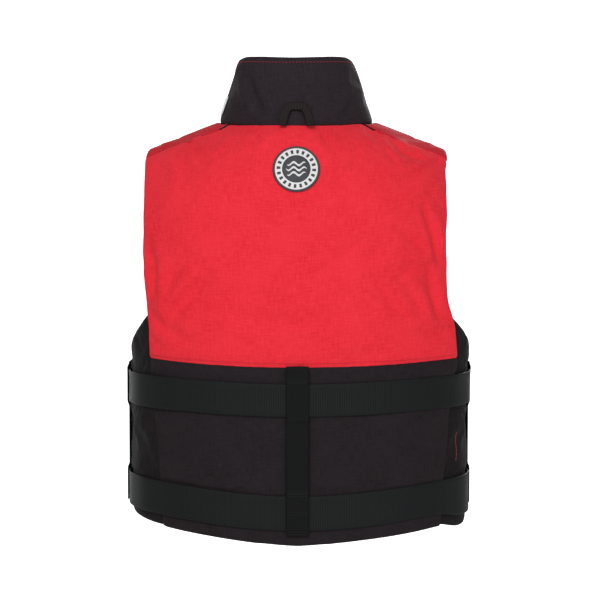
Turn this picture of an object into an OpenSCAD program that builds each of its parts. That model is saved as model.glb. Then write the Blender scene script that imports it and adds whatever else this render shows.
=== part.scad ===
// Foam life jacket with a stand-up collar, two webbing belts and a front zip.
// The jacket is shown as it sits on a wearer. +Z is up, the wearer faces -Y, and the wearer's
// left is +X. The origin is on the wearer's axis, level with the lowest point of the back hem.
// All sizes are in millimetres.

/* [Torso] */
// Half of the outside width below the armholes
half_width = 205; // [190:1:215]
// Outside depth from the wearer's axis to the back
back_depth = 140; // [130:1:150]
// Outside depth from the wearer's axis to the front hem
front_depth = 150; // [145:1:160]
// How far the front leans back for each millimetre of height
front_lean = 0.09; // [0.06:0.01:0.1]
// Squareness of the cross-section, where 2 is an ellipse
squareness = 2.5; // [2.3:0.1:2.7]
// How much higher the hem is at the sides than at the middle
hem_rise = 22; // [8:1:24]

/* [Shoulders] */
// Height of the shoulder ridge where it meets the collar
neck_z = 487; // [480:1:495]
// Drop of the shoulder ridge for each millimetre outward
shoulder_slope = 0.4; // [0.35:0.01:0.42]
// Half of the distance between the two armhole edges
armhole_x = 178; // [172:1:182]
// Height at which the armhole opens above the side panel
armhole_z = 250; // [245:1:255]

/* [Collar] */
// Half of the neck opening's width
neck_x = 92; // [88:1:96]
// Dip of the back neckline below the shoulder ridge
neck_dip_back = 7; // [5:1:9]
// Dip of the front neckline below the shoulder ridge
neck_dip_front = 50; // [45:1:55]
// Half of the width across the collar's top edge
collar_top_x = 70; // [68:1:74]
// Height of the collar's top edge at the back
collar_top_z = 565; // [560:1:570]

/* [Layers] */
// Thickness of the shell and lining fabric
fabric = 1.5; // [1.2:0.1:1.6]
// Thickness of the body foam
foam = 21; // [18:1:22]
// Thickness of the foam in the side panels
side_foam = 12; // [10:1:14]
// Thickness of the collar foam
collar_foam_t = 7; // [6:0.5:7]

/* [Webbing] */
// Width of the two belts
belt_w = 38; // [36:1:40]
// Thickness of the webbing
belt_t = 1.8; // [1.5:0.1:2]
// Height of the lower belt's centre line at the back
lower_belt_z = 34; // [32:1:38]
// Height of the upper belt's centre line at the back
upper_belt_z = 164; // [160:1:168]
// Width of the vertical keeper strap
keeper_w = 27; // [24:1:28]

/* [Zip] */
// Depth of the zip below the face of the front panels
zip_depth = 8; // [8:0.5:9]
// Half of the width of the channel that the zip lies in
zip_channel = 16; // [15:1:18]
// Spacing of the teeth on one tape
tooth_pitch = 10; // [8:1:12]

/* [Hidden] */
$fn = 32;

red = "crimson";
black = "#241f23";
webbing = "#202324";
plastic = "#151617";

layer_gap = 1.2;             // air between two layers of the jacket
seam_gap = 0.7;              // air between two panels at a seam
body_gap = 1;                // air between a moving half and the spine
spine_x = 31;                // the fold lines either side of the spine
waist_seam_z = 202;          // where the yoke meets the lower panel at the back
seam_rise = 7;               // how much higher that seam is at the side
back_curve = 125;            // height over which the back curves in to the shoulder ridge
front_curve = 170;           // height over which the front curves in to the shoulder ridge
front_neck_lift = 130;       // keeps the front straight behind the zip
ridge_q = 2;                 // profile position of the shoulder ridge
shoulder_seam_q = 1.76;      // profile position of the shoulder seam, behind the ridge
foam_top_q = 1.68;           // where the back foam ends below the ridge
front_foam_top_q = 2.2;      // where the front foam ends below the ridge
front_seam_z = 212;          // where the front yoke meets the front panel
edge_inset = 5;              // foam stops short of the fabric's edge
neck_inset = 14;             // foam stops short of the neckline
side_seam_taper = 14;        // how far the side seam runs inward from armhole to hem
side_front_x = 172;          // where the side panel meets the front
neck_columns = 0.25;         // share of a back panel's columns on each side of the neck opening
foam_in = -fabric - layer_gap;              // outer face of the foam
lining_out = foam_in - foam - 1.5;    // outer face of the lining
belt_in = 0.7;                              // inner face of the belts
keeper_in = belt_in + belt_t + 0.7;         // inner face of the keepers
buckle_in = belt_in + belt_t + 1.2;         // inner face of the buckles
buckle_t = 11;                              // thickness of a buckle

// ---- The jacket's outer surface ----

// Share of the full depth that is left at x across the cross-section.
function belly(x) = pow(1 - pow(min(abs(x) / half_width, 1), squareness), 1 / squareness);
// Height of the shoulder ridge at x.
function ridge_z(x) = neck_z + shoulder_slope * (neck_x - abs(x));
// Height of the hem at x.
function hem_z(x) = hem_rise * (1 - pow(1 - pow(min(abs(x) / half_width, 1), 2), 2));
function front_y(z) = front_depth - front_lean * z;
function mix(a, b, k) = a + (b - a) * k;
// Extra height of the front's curve over the neck opening.
function neck_lift(x) = front_neck_lift * pow(max(0, 1 - pow(x / neck_x, 2)), 2);
function back_spring_z(x) = ridge_z(x) - back_curve;
function front_spring_z(x) = ridge_z(x) + neck_lift(x) - front_curve;

// A point of the surface at x and at q along the profile: 0 is the back hem, 1 is where the back
// starts to curve in, 2 is the shoulder ridge, 3 is where the front's curve ends, 4 is the front hem.
function torso(x, q) =
    q <= 1 ? [x, back_depth * belly(x), mix(hem_z(x), back_spring_z(x), q)]
    : q <= 2 ? [x, back_depth * belly(x) * cos(90 * (q - 1)), back_spring_z(x) + back_curve * sin(90 * (q - 1))]
    : q <= 3 ? let (z = front_spring_z(x) + front_curve * sin(90 * (3 - q)))
        [x, -front_y(z) * belly(x) * cos(90 * (3 - q)), z]
    : let (z = mix(front_spring_z(x), hem_z(x), q - 3))
        [x, -front_y(z) * belly(x), z];

// Profile positions of a height z, on the back and on the front.
function back_q(x, z) =
    z < back_spring_z(x) ? (z - hem_z(x)) / (back_spring_z(x) - hem_z(x))
    : 1 + asin(min(1, (z - back_spring_z(x)) / back_curve)) / 90;
function front_q(x, z) =
    z < front_spring_z(x) ? 3 + (front_spring_z(x) - z) / (front_spring_z(x) - hem_z(x))
    : 3 - asin(min(1, (z - front_spring_z(x)) / front_curve)) / 90;

// Necklines, as heights at x inside the neck opening.
function neck_dip(x, dip) = neck_z - dip * sqrt(max(0, 1 - pow(x / neck_x, 2)));
function back_neck_q(x, drop = 0) = abs(x) < neck_x
    ? back_q(x, neck_dip(x, neck_dip_back) - drop) : back_q(x, ridge_z(x) - drop);
function front_neck_q(x, drop = 0) = abs(x) < neck_x
    ? front_q(x, neck_dip(x, neck_dip_front) - drop) : front_q(x, ridge_z(x) - drop);

// A point of the ring below the armholes, at an angle from the wearer's left (0) to the back (90),
// the right (180) and the front (270).
function ring(angle, z) =
    let (c = cos(angle), s = sin(angle), e = 2 / squareness,
         depth = s > 0 ? back_depth : front_y(z))
    [half_width * sign(c) * pow(abs(c), e), depth * sign(s) * pow(abs(s), e), z];
// The angle of the ring at which it is x across.
function ring_angle(x) = acos(pow(x / half_width, squareness / 2));

// Rounds a sine or cosine outward, so that a ring is squarer than a circle.
function squared(c) = sign(c) * pow(abs(c), 0.85);

// Collar: angle as for the ring, v from the neckline to the top edge.
function collar_base(angle) =
    let (x = neck_x * cos(angle))
    sin(angle) >= 0 ? torso(x, back_neck_q(x)) : torso(x, front_neck_q(x));
function collar_top(angle) =
    let (s = sin(angle), drop = s > 0 ? 10 * pow(1 - s, 2.5) : 10 - 30 * s, z = collar_top_z - drop)
    [collar_top_x * squared(cos(angle)), (s > 0 ? 84 : front_y(z)) * squared(s), z];
collar_foot = 0.03;          // the collar stands this share of its height above the neckline
function collar(angle, v) = mix(collar_base(angle), collar_top(angle), mix(collar_foot, 1, v));

// ---- Building a closed panel from a surface ----

// Outward normal of surface f at u and v, by small differences.
function normal(f, u, v) =
    let (e = 0.004,
         a = f(min(1, u + e), v) - f(max(0, u - e), v),
         b = f(u, min(1, v + e)) - f(u, max(0, v - e)),
         n = cross(a, b))
    n / norm(n);
function face_points(f, t, nu, nv) =
    [for (i = [0:nu], j = [0:nv]) f(i / nu, j / nv) + t * normal(f, i / nu, j / nv)];

// A closed panel between the offsets t_in and t_out of f(u, v), with u anticlockwise from above
// and v upward.
module panel(f, t_in, t_out, nu, nv) {
    row = nv + 1;
    half = (nu + 1) * row;
    rim = concat(
        [for (i = [0:nu]) i * row],
        [for (j = [1:nv]) nu * row + j],
        [for (i = [nu - 1:-1:0]) i * row + nv],
        [for (j = [nv - 1:-1:1]) j]);
    quads = [for (i = [0:nu - 1], j = [0:nv - 1])
        [i * row + j, (i + 1) * row + j, (i + 1) * row + j + 1, i * row + j + 1]];
    faces = concat(
        [for (q = quads) each [[q[0], q[1], q[2]], [q[0], q[2], q[3]]]],
        [for (q = quads) each [[q[2] + half, q[1] + half, q[0] + half], [q[3] + half, q[2] + half, q[0] + half]]],
        [for (k = [0:len(rim) - 1]) let (a = rim[k], b = rim[(k + 1) % len(rim)])
            each [[a + half, b + half, b], [a + half, b, a]]]);
    points = concat(face_points(f, t_in, nu, nv), face_points(f, t_out, nu, nv));
    polyhedron(points, faces);
}

// Surface of the back between two values of x and two profile positions that depend on x.
function back_area(x0, x1, q_low, q_high) = function(u, v)
    let (x = mix(x0, x1, u)) torso(x, mix(q_low(x), q_high(x), v));
// The same across the whole back, with columns that meet the ends of the neck opening.
function across_back(u, edge) =
    u < neck_columns ? mix(edge, neck_x, u / neck_columns)
    : u > 1 - neck_columns ? -mix(edge, neck_x, (1 - u) / neck_columns)
    : neck_x * cos(180 * (u - neck_columns) / (1 - 2 * neck_columns));
function whole_back(edge_of, q_low, q_high) = function(u, v)
    let (z = torso(armhole_x, mix(q_low(armhole_x), q_high(armhole_x), v)).z,
         x = across_back(u, edge_of(z)))
    torso(x, mix(q_low(x), q_high(x), v));
// The wearer's left front, from the zip outward, with a column at the end of the neck opening.
function across_front(u, edge) =
    u < 0.5 ? mix(zip_channel, neck_x, sin(180 * u)) : mix(neck_x, edge, pow(2 * u - 1, 1.5));
function left_front(edge_of, q_low, q_high) = function(u, v)
    let (z = torso(side_front_x, mix(q_low(side_front_x), q_high(side_front_x), v)).z,
         x = across_front(u, edge_of(z)))
    torso(x, mix(q_low(x), q_high(x), v));

// ---- Back ----

function seam_z(x) = waist_seam_z + seam_rise * pow(x / armhole_x, 2);
// Half-width of the back at height z: its side seam below the armhole, its edge above.
function side_seam_x(z) = armhole_x - 3 - side_seam_taper * (1 - min(z, armhole_z) / armhole_z);
back_edge = function(z) side_seam_x(z) + 3 * min(1, max(0, z - armhole_z) / 100);
inner_edge = function(z) back_edge(z) - edge_inset;
yoke_bottom_q = function(x) back_q(x, seam_z(x) + seam_gap);
yoke_top_q = function(x) min(back_neck_q(x), shoulder_seam_q);
panel_top_q = function(x) back_q(x, seam_z(x));
hem_q = function(x) 0;
foam_bottom_q = function(x) back_q(x, hem_z(x) + edge_inset);
foam_top = function(x) min(back_neck_q(min(abs(x), neck_x + 20), neck_inset), foam_top_q);
lining_top = function(x) min(back_neck_q(x, 4), shoulder_seam_q - 0.06);

module back_yoke() {
    color(red) panel(whole_back(back_edge, yoke_bottom_q, yoke_top_q), -fabric, 0, 24, 14);
}

// The lower back panel narrows towards the hem along the two side seams.
module back_lower_panel() {
    color(black) panel(whole_back(back_edge, hem_q, panel_top_q), -fabric, 0, 24, 6);
}

module back_lining() {
    lining_edge = function(z) inner_edge(z) - 8;
    color(black) panel(whole_back(lining_edge, hem_q, lining_top), lining_out - fabric, lining_out, 24, 12);
}

module back_foam(x0, x1, nu) {
    color("whitesmoke") panel(back_area(x0, x1, foam_bottom_q, foam_top), foam_in - foam, foam_in, nu, 12);
}
module back_foam_centre() { back_foam(spine_x - body_gap, -spine_x + body_gap, 4); }

module back_keeper_strap() {
    bottom = function(x) back_q(x, 12);
    top = function(x) back_q(x, waist_seam_z - 1);
    color(webbing) panel(back_area(keeper_w / 2, -keeper_w / 2, bottom, top), keeper_in, keeper_in + belt_t, 2, 6);
}

// Round badge with a raised rim, sewn to the yoke below the collar and curved with it.
badge_r = 27;
badge_z = 430;
module badge() {
    at = torso(0, back_q(0, badge_z));
    rise = atan((badge_z - back_spring_z(0)) / sqrt(pow(back_curve, 2) - pow(badge_z - back_spring_z(0), 2)));
    low = function(x) back_q(x, badge_z - badge_r - 4);
    high = function(x) back_q(x, badge_z + badge_r + 4);
    area = back_area(badge_r + 3, -badge_r - 3, low, high);
    color("gray") {
        intersection() {
            panel(area, 0.8, 2.2, 6, 8);
            translate(at) rotate([rise - 90, 0, 0]) cylinder(r = badge_r, h = 40, center = true, $fn = 48);
        }
    }
}

// ---- Collar ----

collar_front = 11;           // degrees between the zip and the collar's front edges
collar_fold = 19;            // degrees between the middle of the back and the fold lines
module collar_layer(from, to, t_in, t_out, columns) {
    surface = function(u, v) collar(mix(from, to, u), v);
    panel(surface, t_in, t_out, columns, 3);
}
module collar_fabric(t_out) { collar_layer(-90 + collar_front, 270 - collar_front, t_out - fabric, t_out, 36); }
collar_foam_out = -fabric - layer_gap;
collar_foam_in = collar_foam_out - collar_foam_t;
module collar_shell() { color(black) collar_fabric(0); }
module collar_lining() { color(black) collar_fabric(collar_foam_in - layer_gap); }
module collar_foam_centre() {
    color("whitesmoke") collar_layer(90 - collar_fold, 90 + collar_fold, collar_foam_in, collar_foam_out, 6);
}
module left_collar_foam() {
    color("whitesmoke")
        collar_layer(-90 + collar_front, 90 - collar_fold - 0.7, collar_foam_in, collar_foam_out, 16);
}

// Loop of narrow tape that stands against the back of the collar.
loop_w = 38;
loop_h = 25;
loop_tape = 9;
loop_t = 2;
module hang_loop() {
    foot = collar(90, 0);
    lean = atan2(collar(90, 1).y - foot.y, collar(90, 1).z - foot.z);
    color(webbing) translate(foot + [0, 2.2, 1]) rotate([-lean, 0, 0]) rotate([90, 0, 0])
        translate([0, 0, -loop_t]) linear_extrude(loop_t) difference() {
            polygon([[-loop_w / 2, 0], [loop_w / 2, 0], [loop_w / 2 - 7, loop_h], [-loop_w / 2 + 7, loop_h]]);
            polygon([[-loop_w / 2 + loop_tape, -1], [loop_w / 2 - loop_tape, -1],
                [loop_w / 2 - 5 - loop_tape, loop_h - loop_tape], [-loop_w / 2 + 5 + loop_tape, loop_h - loop_tape]]);
        }
}

// ---- Belts ----

belt_end = 24;               // distance from the zip to a belt's end, under the buckle
upper_follow = 0.3;          // share of the hem's rise that each belt follows
lower_follow = 0.67;
module belt(z, follow) {
    start = -ring_angle(belt_end);
    surface = function(u, v)
        let (angle = mix(start, 180 - start, u), rise = follow * hem_z(ring(angle, 0).x))
        ring(angle, z + rise + belt_w * (v - 0.5));
    color(webbing) panel(surface, belt_in, belt_in + belt_t, 56, 1);
}
module upper_belt() { belt(upper_belt_z, upper_follow); }
module lower_belt() { belt(lower_belt_z, lower_follow); }

// ---- Wearer's left half: the right half is its mirror image ----

module left_back_foam() {
    surface = function(u, v)
        let (z = torso(armhole_x, mix(foam_bottom_q(armhole_x), foam_top(armhole_x), v)).z,
             x = u < 0.4 ? mix(inner_edge(z), neck_x, u / 0.4) : mix(neck_x, spine_x, (u - 0.4) / 0.6))
        torso(x, mix(foam_bottom_q(x), foam_top(x), v));
    color("whitesmoke") panel(surface, foam_in - foam, foam_in, 10, 12);
}

// The side panel runs round the ring between the two side seams, and dips under the arm.
arm_dip = 26;                // how far the armhole dips under the arm
function side_area(z_low_of, z_high_of) = function(u, v)
    let (seam = side_seam_x(mix(hem_rise, armhole_z, v)) + 0.8,
         angle = mix(-ring_angle(side_front_x), ring_angle(seam), u),
         x = ring(angle, 0).x)
    ring(angle, mix(z_low_of(x), z_high_of(x), v));
side_span = half_width - side_front_x;
side_top = function(x) armhole_z - arm_dip * sin(90 * min(1, (x - side_front_x) / side_span));
side_bottom = function(x) hem_z(x);
side_foam_bottom = function(x) hem_z(x) + edge_inset;
side_foam_top = function(x) side_top(x) - edge_inset;
module side_layer(low, high, t_in, t_out) { panel(side_area(low, high), t_in, t_out, 12, 6); }
module left_side_panel() { color(black) side_layer(side_bottom, side_top, -fabric, 0); }

// The side foam and lining keep clear of the thicker foam on each side of them.
module side_inner_layer(t_in, t_out) {
    surface = function(u, v)
        let (angle = mix(-ring_angle(side_front_x + 14), ring_angle(armhole_x + 8), u), x = ring(angle, 0).x)
        ring(angle, mix(side_foam_bottom(x), side_foam_top(x), v));
    panel(surface, t_in, t_out, 8, 5);
}
module left_side_foam() { color("whitesmoke") side_inner_layer(foam_in - side_foam, foam_in); }
module left_side_lining() {
    color(black) side_inner_layer(foam_in - side_foam - layer_gap - fabric, foam_in - side_foam - layer_gap);
}

// Vertical webbing that holds both belts against the side.
module left_side_keeper() {
    side_keeper_angle = 10;
    surface = function(u, v) ring(mix(-side_keeper_angle, side_keeper_angle * 0.2, u), mix(22, 198, v));
    color(webbing) panel(surface, keeper_in, keeper_in + belt_t, 3, 5);
}

front_hem = function(x) 4;
front_seam = function(x) front_q(x, front_seam_z);
front_yoke_bottom = function(x) front_q(x, front_seam_z + seam_gap);
front_yoke_top = function(x) x < neck_x ? front_neck_q(x)
    : mix(ridge_q, shoulder_seam_q + 0.01, min(1, (x - neck_x) / 5));
front_edge = function(z) side_front_x - 0.8 + 6 * min(1, max(0, z - armhole_z) / 150);
front_inner_edge = function(z) front_edge(z) - edge_inset;
module left_front_yoke() {
    color(red) panel(left_front(front_edge, front_yoke_bottom, front_yoke_top), -fabric, 0, 12, 14);
}
module left_front_panel() {
    color(black) panel(left_front(front_edge, front_hem, front_seam), -fabric, 0, 12, 6);
}
front_foam_bottom = function(x) front_q(x, hem_z(x) + edge_inset);
front_foam_top = function(x) max(front_neck_q(min(x, neck_x), neck_inset), front_foam_top_q);
module left_front_foam() {
    color("whitesmoke") panel(left_front(front_inner_edge, front_foam_bottom, front_foam_top),
        foam_in - foam, foam_in, 12, 14);
}
module left_front_lining() {
    edge = function(z) front_inner_edge(z) - 8;
    top = function(x) max(front_neck_q(min(x, neck_x), 4), ridge_q + 0.08);
    color(black) panel(left_front(edge, front_hem, top), lining_out - fabric, lining_out, 12, 12);
}

// Reflective tape on the front of each shoulder, from the collar down.
module left_reflective_tape() {
    surface = function(u, v) torso(mix(104, 129, u), mix(2.95, 2.12, v));
    color("silver") panel(surface, 1, 1.6, 4, 8);
}

// ---- Zip ----

// The zip runs on one straight line that leans back with the front.
zip_low = 14;
zip_high = 500;
zip_tilt = -atan(front_lean);
function zip_point(z) = [0, -front_y(z) + zip_depth, z];
// Places children at height z on the zip, with their +Z along it and -Y out of the jacket.
module on_zip(z) { translate(zip_point(z)) rotate([zip_tilt, 0, 0]) children(); }
zip_length = (zip_high - zip_low) / cos(zip_tilt);

module left_zip_tape() {
    color(webbing) on_zip(zip_low) translate([3.4, -0.5, 0]) cube([12, 1, zip_length]);
}
tooth = [7, 4, 3.6];
tooth_reach = 1.7;           // how far a tooth reaches past the zip's centre
module left_zip_teeth() {
    tape_slot = 0.6;
    color(plastic) on_zip(zip_low) for (z = [8:tooth_pitch:zip_length - 14])
        translate([-tooth_reach, -tooth.y / 2, z]) difference() {
            cube(tooth);
            translate([3.4 + tooth_reach - 0.2, tooth.y / 2 - tape_slot, -1]) cube([tooth.x, 2 * tape_slot, tooth.z + 2]);
        }
}
// The right teeth sit half a pitch higher, between the left ones.
module right_zip_teeth() {
    translate(zip_point(tooth_pitch / 2) - zip_point(0)) mirror([1, 0, 0]) left_zip_teeth();
}

// The slider: two plates and the post that parts the teeth, above the last tooth.
slider_z = 488;
slider = [15, 17];           // width and length
module zip_slider() {
    plate = 1.3;
    clear = 2.8;
    color(plastic) on_zip(slider_z) {
        for (side = [-1, 1]) translate([-slider.x / 2, side * (clear + plate / 2) - plate / 2, -slider.y / 2])
            cube([slider.x, plate, slider.y]);
        translate([-1.6, -clear - plate / 2, slider.y / 2 - 3.6]) cube([3.2, 2 * clear + plate, 3.2]);
        // the bridge that holds the pull's pin
        for (side = [-1, 1]) translate([side * 4.2 - 0.8, -clear - plate - 3.2, -2])
            difference() {
                cube([1.6, 3.4, 4]);
                translate([-1, 1.6, 2]) rotate([0, 90, 0]) cylinder(r = 0.85, h = 4, $fn = 24);
            }
    }
}
pin_out = 5.7;               // the pull's pin in front of the zip's middle
module zip_pull_pin() {
    color(plastic) on_zip(slider_z) translate([-5, -pin_out, 0]) rotate([0, 90, 0]) cylinder(r = 0.8, h = 10, $fn = 24);
}
module zip_pull() {
    color(plastic) on_zip(slider_z) translate([0, -pin_out, 0]) {
        // its round head clears the slider's plate as it swings
        difference() {
            union() {
                translate([-3, -1, -30]) cube([6, 2, 30]);
                translate([-3, 0, 0]) rotate([0, 90, 0]) cylinder(r = 1.45, h = 6, $fn = 48);
            }
            translate([-5, 0, 0]) rotate([0, 90, 0]) cylinder(r = 0.85, h = 10, $fn = 24);
        }
        translate([-4.5, -1.2, -34]) cube([9, 2.4, 10]);
    }
}
// The separating end: a box on the right tape and a pin on the left tape.
module zip_box() {
    color(plastic) on_zip(2) difference() {
        translate([-7.5, -3.5, 0]) cube([12, 7, 11]);
        translate([0.6, -1.6, 2]) cube([10, 3.2, 12]);
    }
}
module zip_pin() { color(plastic) on_zip(5) translate([1.4, -1.2, 0]) cube([1.9, 2.4, 14]); }
module left_zip_stop() { color(plastic) on_zip(zip_high - 1) translate([3.8, -1.6, -1]) cube([2.4, 1, 3]); }

// ---- Buckles ----

// Places children on the front face at height z, with +X along the belt and -Y outward.
module on_front(z) { translate([0, -front_y(z) - buckle_in - buckle_t / 2, z]) rotate([zip_tilt, 0, 0]) children(); }

// Flat bar of length l and width w with rounded corners, lying in X and Z.
module rounded_bar(l, w, t, r) {
    rotate([90, 0, 0]) translate([0, 0, -t / 2]) linear_extrude(t) {
        translate([r, -w / 2]) square([l - 2 * r, w]);
        translate([0, -w / 2 + r]) square([l, w - 2 * r]);
        for (x = [r, l - r], y = [-w / 2 + r, w / 2 - r]) translate([x, y]) circle(r);
    }
}
socket_len = 46;
socket_mouth = 5;            // the mouth's distance past the zip
buckle_w = 50;
prong_len = 22;
prong_t = 3;
cavity_h = 8.8;              // lets the prongs out when a half swings away
module buckle_socket() {
    difference() {
        translate([socket_mouth - socket_len, 0, 0]) rounded_bar(socket_len, buckle_w, buckle_t, 6);
        translate([socket_mouth - prong_len - 3, -cavity_h / 2, -18]) cube([prong_len + 10, cavity_h, 36]);
        for (side = [-1, 1]) translate([-15, -cavity_h / 2, side * 24 - 8]) cube([13, cavity_h, 16]);
        translate([socket_mouth - socket_len + 5, -buckle_t, -belt_w / 2 - 1]) cube([6, 2 * buckle_t, belt_w + 2]);
    }
}
module buckle_plug() {
    base_x = socket_mouth + 0.8;
    difference() {
        translate([base_x, 0, 0]) rounded_bar(30, buckle_w, buckle_t, 4);
        for (x = [8, 19]) translate([base_x + x, -buckle_t, -belt_w / 2 - 1]) cube([6, 2 * buckle_t, belt_w + 2]);
    }
    for (z = [-13, 0, 13]) translate([socket_mouth - prong_len, -prong_t / 2, z - 2.6]) cube([prong_len + 2, prong_t, 5.2]);
}
module upper_buckle_socket() { color(plastic) on_front(upper_belt_z) buckle_socket(); }
module upper_buckle_plug() { color(plastic) on_front(upper_belt_z) buckle_plug(); }
module lower_buckle_socket() { color(plastic) on_front(lower_belt_z) buckle_socket(); }
module lower_buckle_plug() { color(plastic) on_front(lower_belt_z) buckle_plug(); }

// ---- Pockets ----

// A pocket bag is a flat box that lies against the front panel, over the lower belt.
pocket_x = 101;              // its middle across the front
pocket_z = 22;
pocket = [96, 20, 112];      // width, depth and height
pocket_wall = 1.6;
pocket_turn = 17;            // turns it square to the front panel there
pocket_lift = 4.5;
module on_pocket() {
    at = torso(pocket_x, 4);
    translate([at.x, -front_y(pocket_z) * belly(pocket_x) - pocket_lift, pocket_z])
        rotate([0, 0, pocket_turn]) rotate([zip_tilt, 0, 0]) children();
}
module left_pocket() {
    color(black) on_pocket() difference() {
        translate([-pocket.x / 2, -pocket.y, 0]) cube(pocket);
        translate([-pocket.x / 2 + pocket_wall, -pocket.y + pocket_wall, pocket_wall])
            cube([pocket.x - 2 * pocket_wall, pocket.y - 2 * pocket_wall, pocket.z]);
    }
}
flap_drop = 42;
flap_hinge_z = pocket.z + 3;
module left_pocket_flap() {
    flap_t = 2;
    color(black) on_pocket() {
        translate([-pocket.x / 2 - 2, -pocket.y - 1 - flap_t, flap_hinge_z - flap_drop]) cube([pocket.x + 4, flap_t, flap_drop]);
        translate([-pocket.x / 2 - 2, -pocket.y - 1 - flap_t, flap_hinge_z - flap_t]) cube([pocket.x + 4, pocket.y + flap_t, flap_t]);
    }
}

// ---- D-ring on the wearer's right ----

ring_r = 13;
wire_r = 1.7;
ring_at = [-96, 300];        // x and height of its bar
module on_chest() {
    at = torso(ring_at.x, front_q(ring_at.x, ring_at.y));
    translate(at) rotate([0, 0, -15]) rotate([-7, 0, 0]) translate([0, -5.5, 0]) children();
}
module d_ring() {
    color("silver") on_chest() {
        rotate([0, 90, 0]) translate([0, 0, -ring_r]) cylinder(r = wire_r, h = 2 * ring_r, $fn = 24);
        rotate([90, 0, 0]) rotate([0, 0, 180]) rotate_extrude(angle = 180, $fn = 48) translate([ring_r, 0]) circle(wire_r, $fn = 24);
        for (side = [-1, 1]) translate([side * ring_r, 0, 0]) sphere(wire_r, $fn = 24);
    }
}
// Webbing folded round the ring's bar and sewn to the yoke above it.
module d_ring_tab() {
    tab_w = 20;
    bore = wire_r + 0.3;
    color(webbing) on_chest() difference() {
        union() {
            rotate([0, 90, 0]) translate([0, 0, -tab_w / 2]) cylinder(r = bore + 1.3, h = tab_w, $fn = 32);
            translate([-tab_w / 2, -1, 0]) cube([tab_w, 4.2, 40]);
        }
        rotate([0, 90, 0]) translate([0, 0, -tab_w]) cylinder(r = bore, h = 2 * tab_w, $fn = 32);
    }
}

// ---- The wearer's right half ----

module mirrored() { mirror([1, 0, 0]) children(); }
module right_back_foam() { mirrored() left_back_foam(); }
module right_collar_foam() { mirrored() left_collar_foam(); }
module right_reflective_tape() { mirrored() left_reflective_tape(); }
module right_side_panel() { mirrored() left_side_panel(); }
module right_side_foam() { mirrored() left_side_foam(); }
module right_side_lining() { mirrored() left_side_lining(); }
module right_front_yoke() { mirrored() left_front_yoke(); }
module right_front_panel() { mirrored() left_front_panel(); }
module right_front_foam() { mirrored() left_front_foam(); }
module right_front_lining() { mirrored() left_front_lining(); }
module right_side_keeper() { mirrored() left_side_keeper(); }
module right_zip_tape() { mirrored() left_zip_tape(); }
module right_zip_stop() { mirrored() left_zip_stop(); }
module right_pocket() { mirrored() left_pocket(); }
module right_pocket_flap() { mirrored() left_pocket_flap(); }

back_yoke();
back_lower_panel();
back_lining();
back_foam_centre();
back_keeper_strap();
badge();
collar_shell();
collar_foam_centre();
collar_lining();
hang_loop();
upper_belt();
lower_belt();
left_back_foam();
left_collar_foam();
left_reflective_tape();
left_side_panel();
left_side_foam();
left_side_lining();
left_front_yoke();
left_front_panel();
left_front_foam();
left_front_lining();
left_side_keeper();
left_zip_tape();
left_zip_teeth();
left_pocket();
left_pocket_flap();
right_back_foam();
right_collar_foam();
right_reflective_tape();
right_side_panel();
right_side_foam();
right_side_lining();
right_front_yoke();
right_front_panel();
right_front_foam();
right_front_lining();
right_side_keeper();
right_zip_tape();
right_zip_teeth();
right_pocket();
right_pocket_flap();
zip_slider();
zip_pull();
zip_pull_pin();
zip_box();
zip_pin();
left_zip_stop();
right_zip_stop();
upper_buckle_socket();
upper_buckle_plug();
lower_buckle_socket();
lower_buckle_plug();
d_ring();
d_ring_tab();
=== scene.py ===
# %% [markdown]
# # A foam life jacket, seen as it sits on a wearer
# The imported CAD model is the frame: it fixes every size and every moving body. Here each soft piece is made
# again as real cloth, foam and webbing over that frame, and the hardware keeps its CAD shape and gets its
# material. The frame is in metres: +Z is up, the wearer faces -Y, and the wearer's left is +X.

import math

import bpy
import numpy as np
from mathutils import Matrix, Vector
from mathutils.bvhtree import BVHTree


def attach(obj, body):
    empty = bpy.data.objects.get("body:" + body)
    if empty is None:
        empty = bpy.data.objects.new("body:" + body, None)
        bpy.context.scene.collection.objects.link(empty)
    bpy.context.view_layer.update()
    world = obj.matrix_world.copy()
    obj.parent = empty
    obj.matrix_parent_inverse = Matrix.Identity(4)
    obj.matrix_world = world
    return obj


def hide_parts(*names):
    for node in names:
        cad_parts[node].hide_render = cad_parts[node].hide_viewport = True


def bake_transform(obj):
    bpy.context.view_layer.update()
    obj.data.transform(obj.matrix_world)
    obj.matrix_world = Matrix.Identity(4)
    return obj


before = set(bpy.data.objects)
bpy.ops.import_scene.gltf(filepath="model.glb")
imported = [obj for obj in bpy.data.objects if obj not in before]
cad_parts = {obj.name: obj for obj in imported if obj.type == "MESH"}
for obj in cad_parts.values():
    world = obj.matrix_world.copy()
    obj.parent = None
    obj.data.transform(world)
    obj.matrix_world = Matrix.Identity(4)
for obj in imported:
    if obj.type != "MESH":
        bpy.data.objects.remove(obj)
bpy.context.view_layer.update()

# %% [markdown]
# ## The jacket's surface
# Every soft piece lies on one surface, the same one that the CAD panels follow. A point of it has an x across
# the wearer and a place q along the profile: 0 is the back hem, 1 is where the back starts to curve in, 2 is
# the shoulder ridge, 3 is where the front's curve ends and 4 is the front hem. Lengths here are millimetres.

# %% The surface as functions
HALF_WIDTH, BACK_DEPTH, FRONT_DEPTH, FRONT_LEAN = 203.0, 140.0, 150.0, 0.09
SQUARENESS, HEM_RISE = 2.5, 22.0
NECK_Z, SHOULDER_SLOPE, NECK_X = 487.0, 0.4, 92.0
BACK_CURVE, FRONT_CURVE, FRONT_NECK_LIFT = 125.0, 170.0, 130.0
ARMHOLE_X, ARMHOLE_Z, SIDE_FRONT_X = 178.0, 250.0, 172.0
SHOULDER_SEAM_Q = 1.76


def mix(a, b, k):
    return a + (b - a) * k


def smooth(k):
    k = np.clip(k, 0, 1)
    return k * k * (3 - 2 * k)


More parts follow.
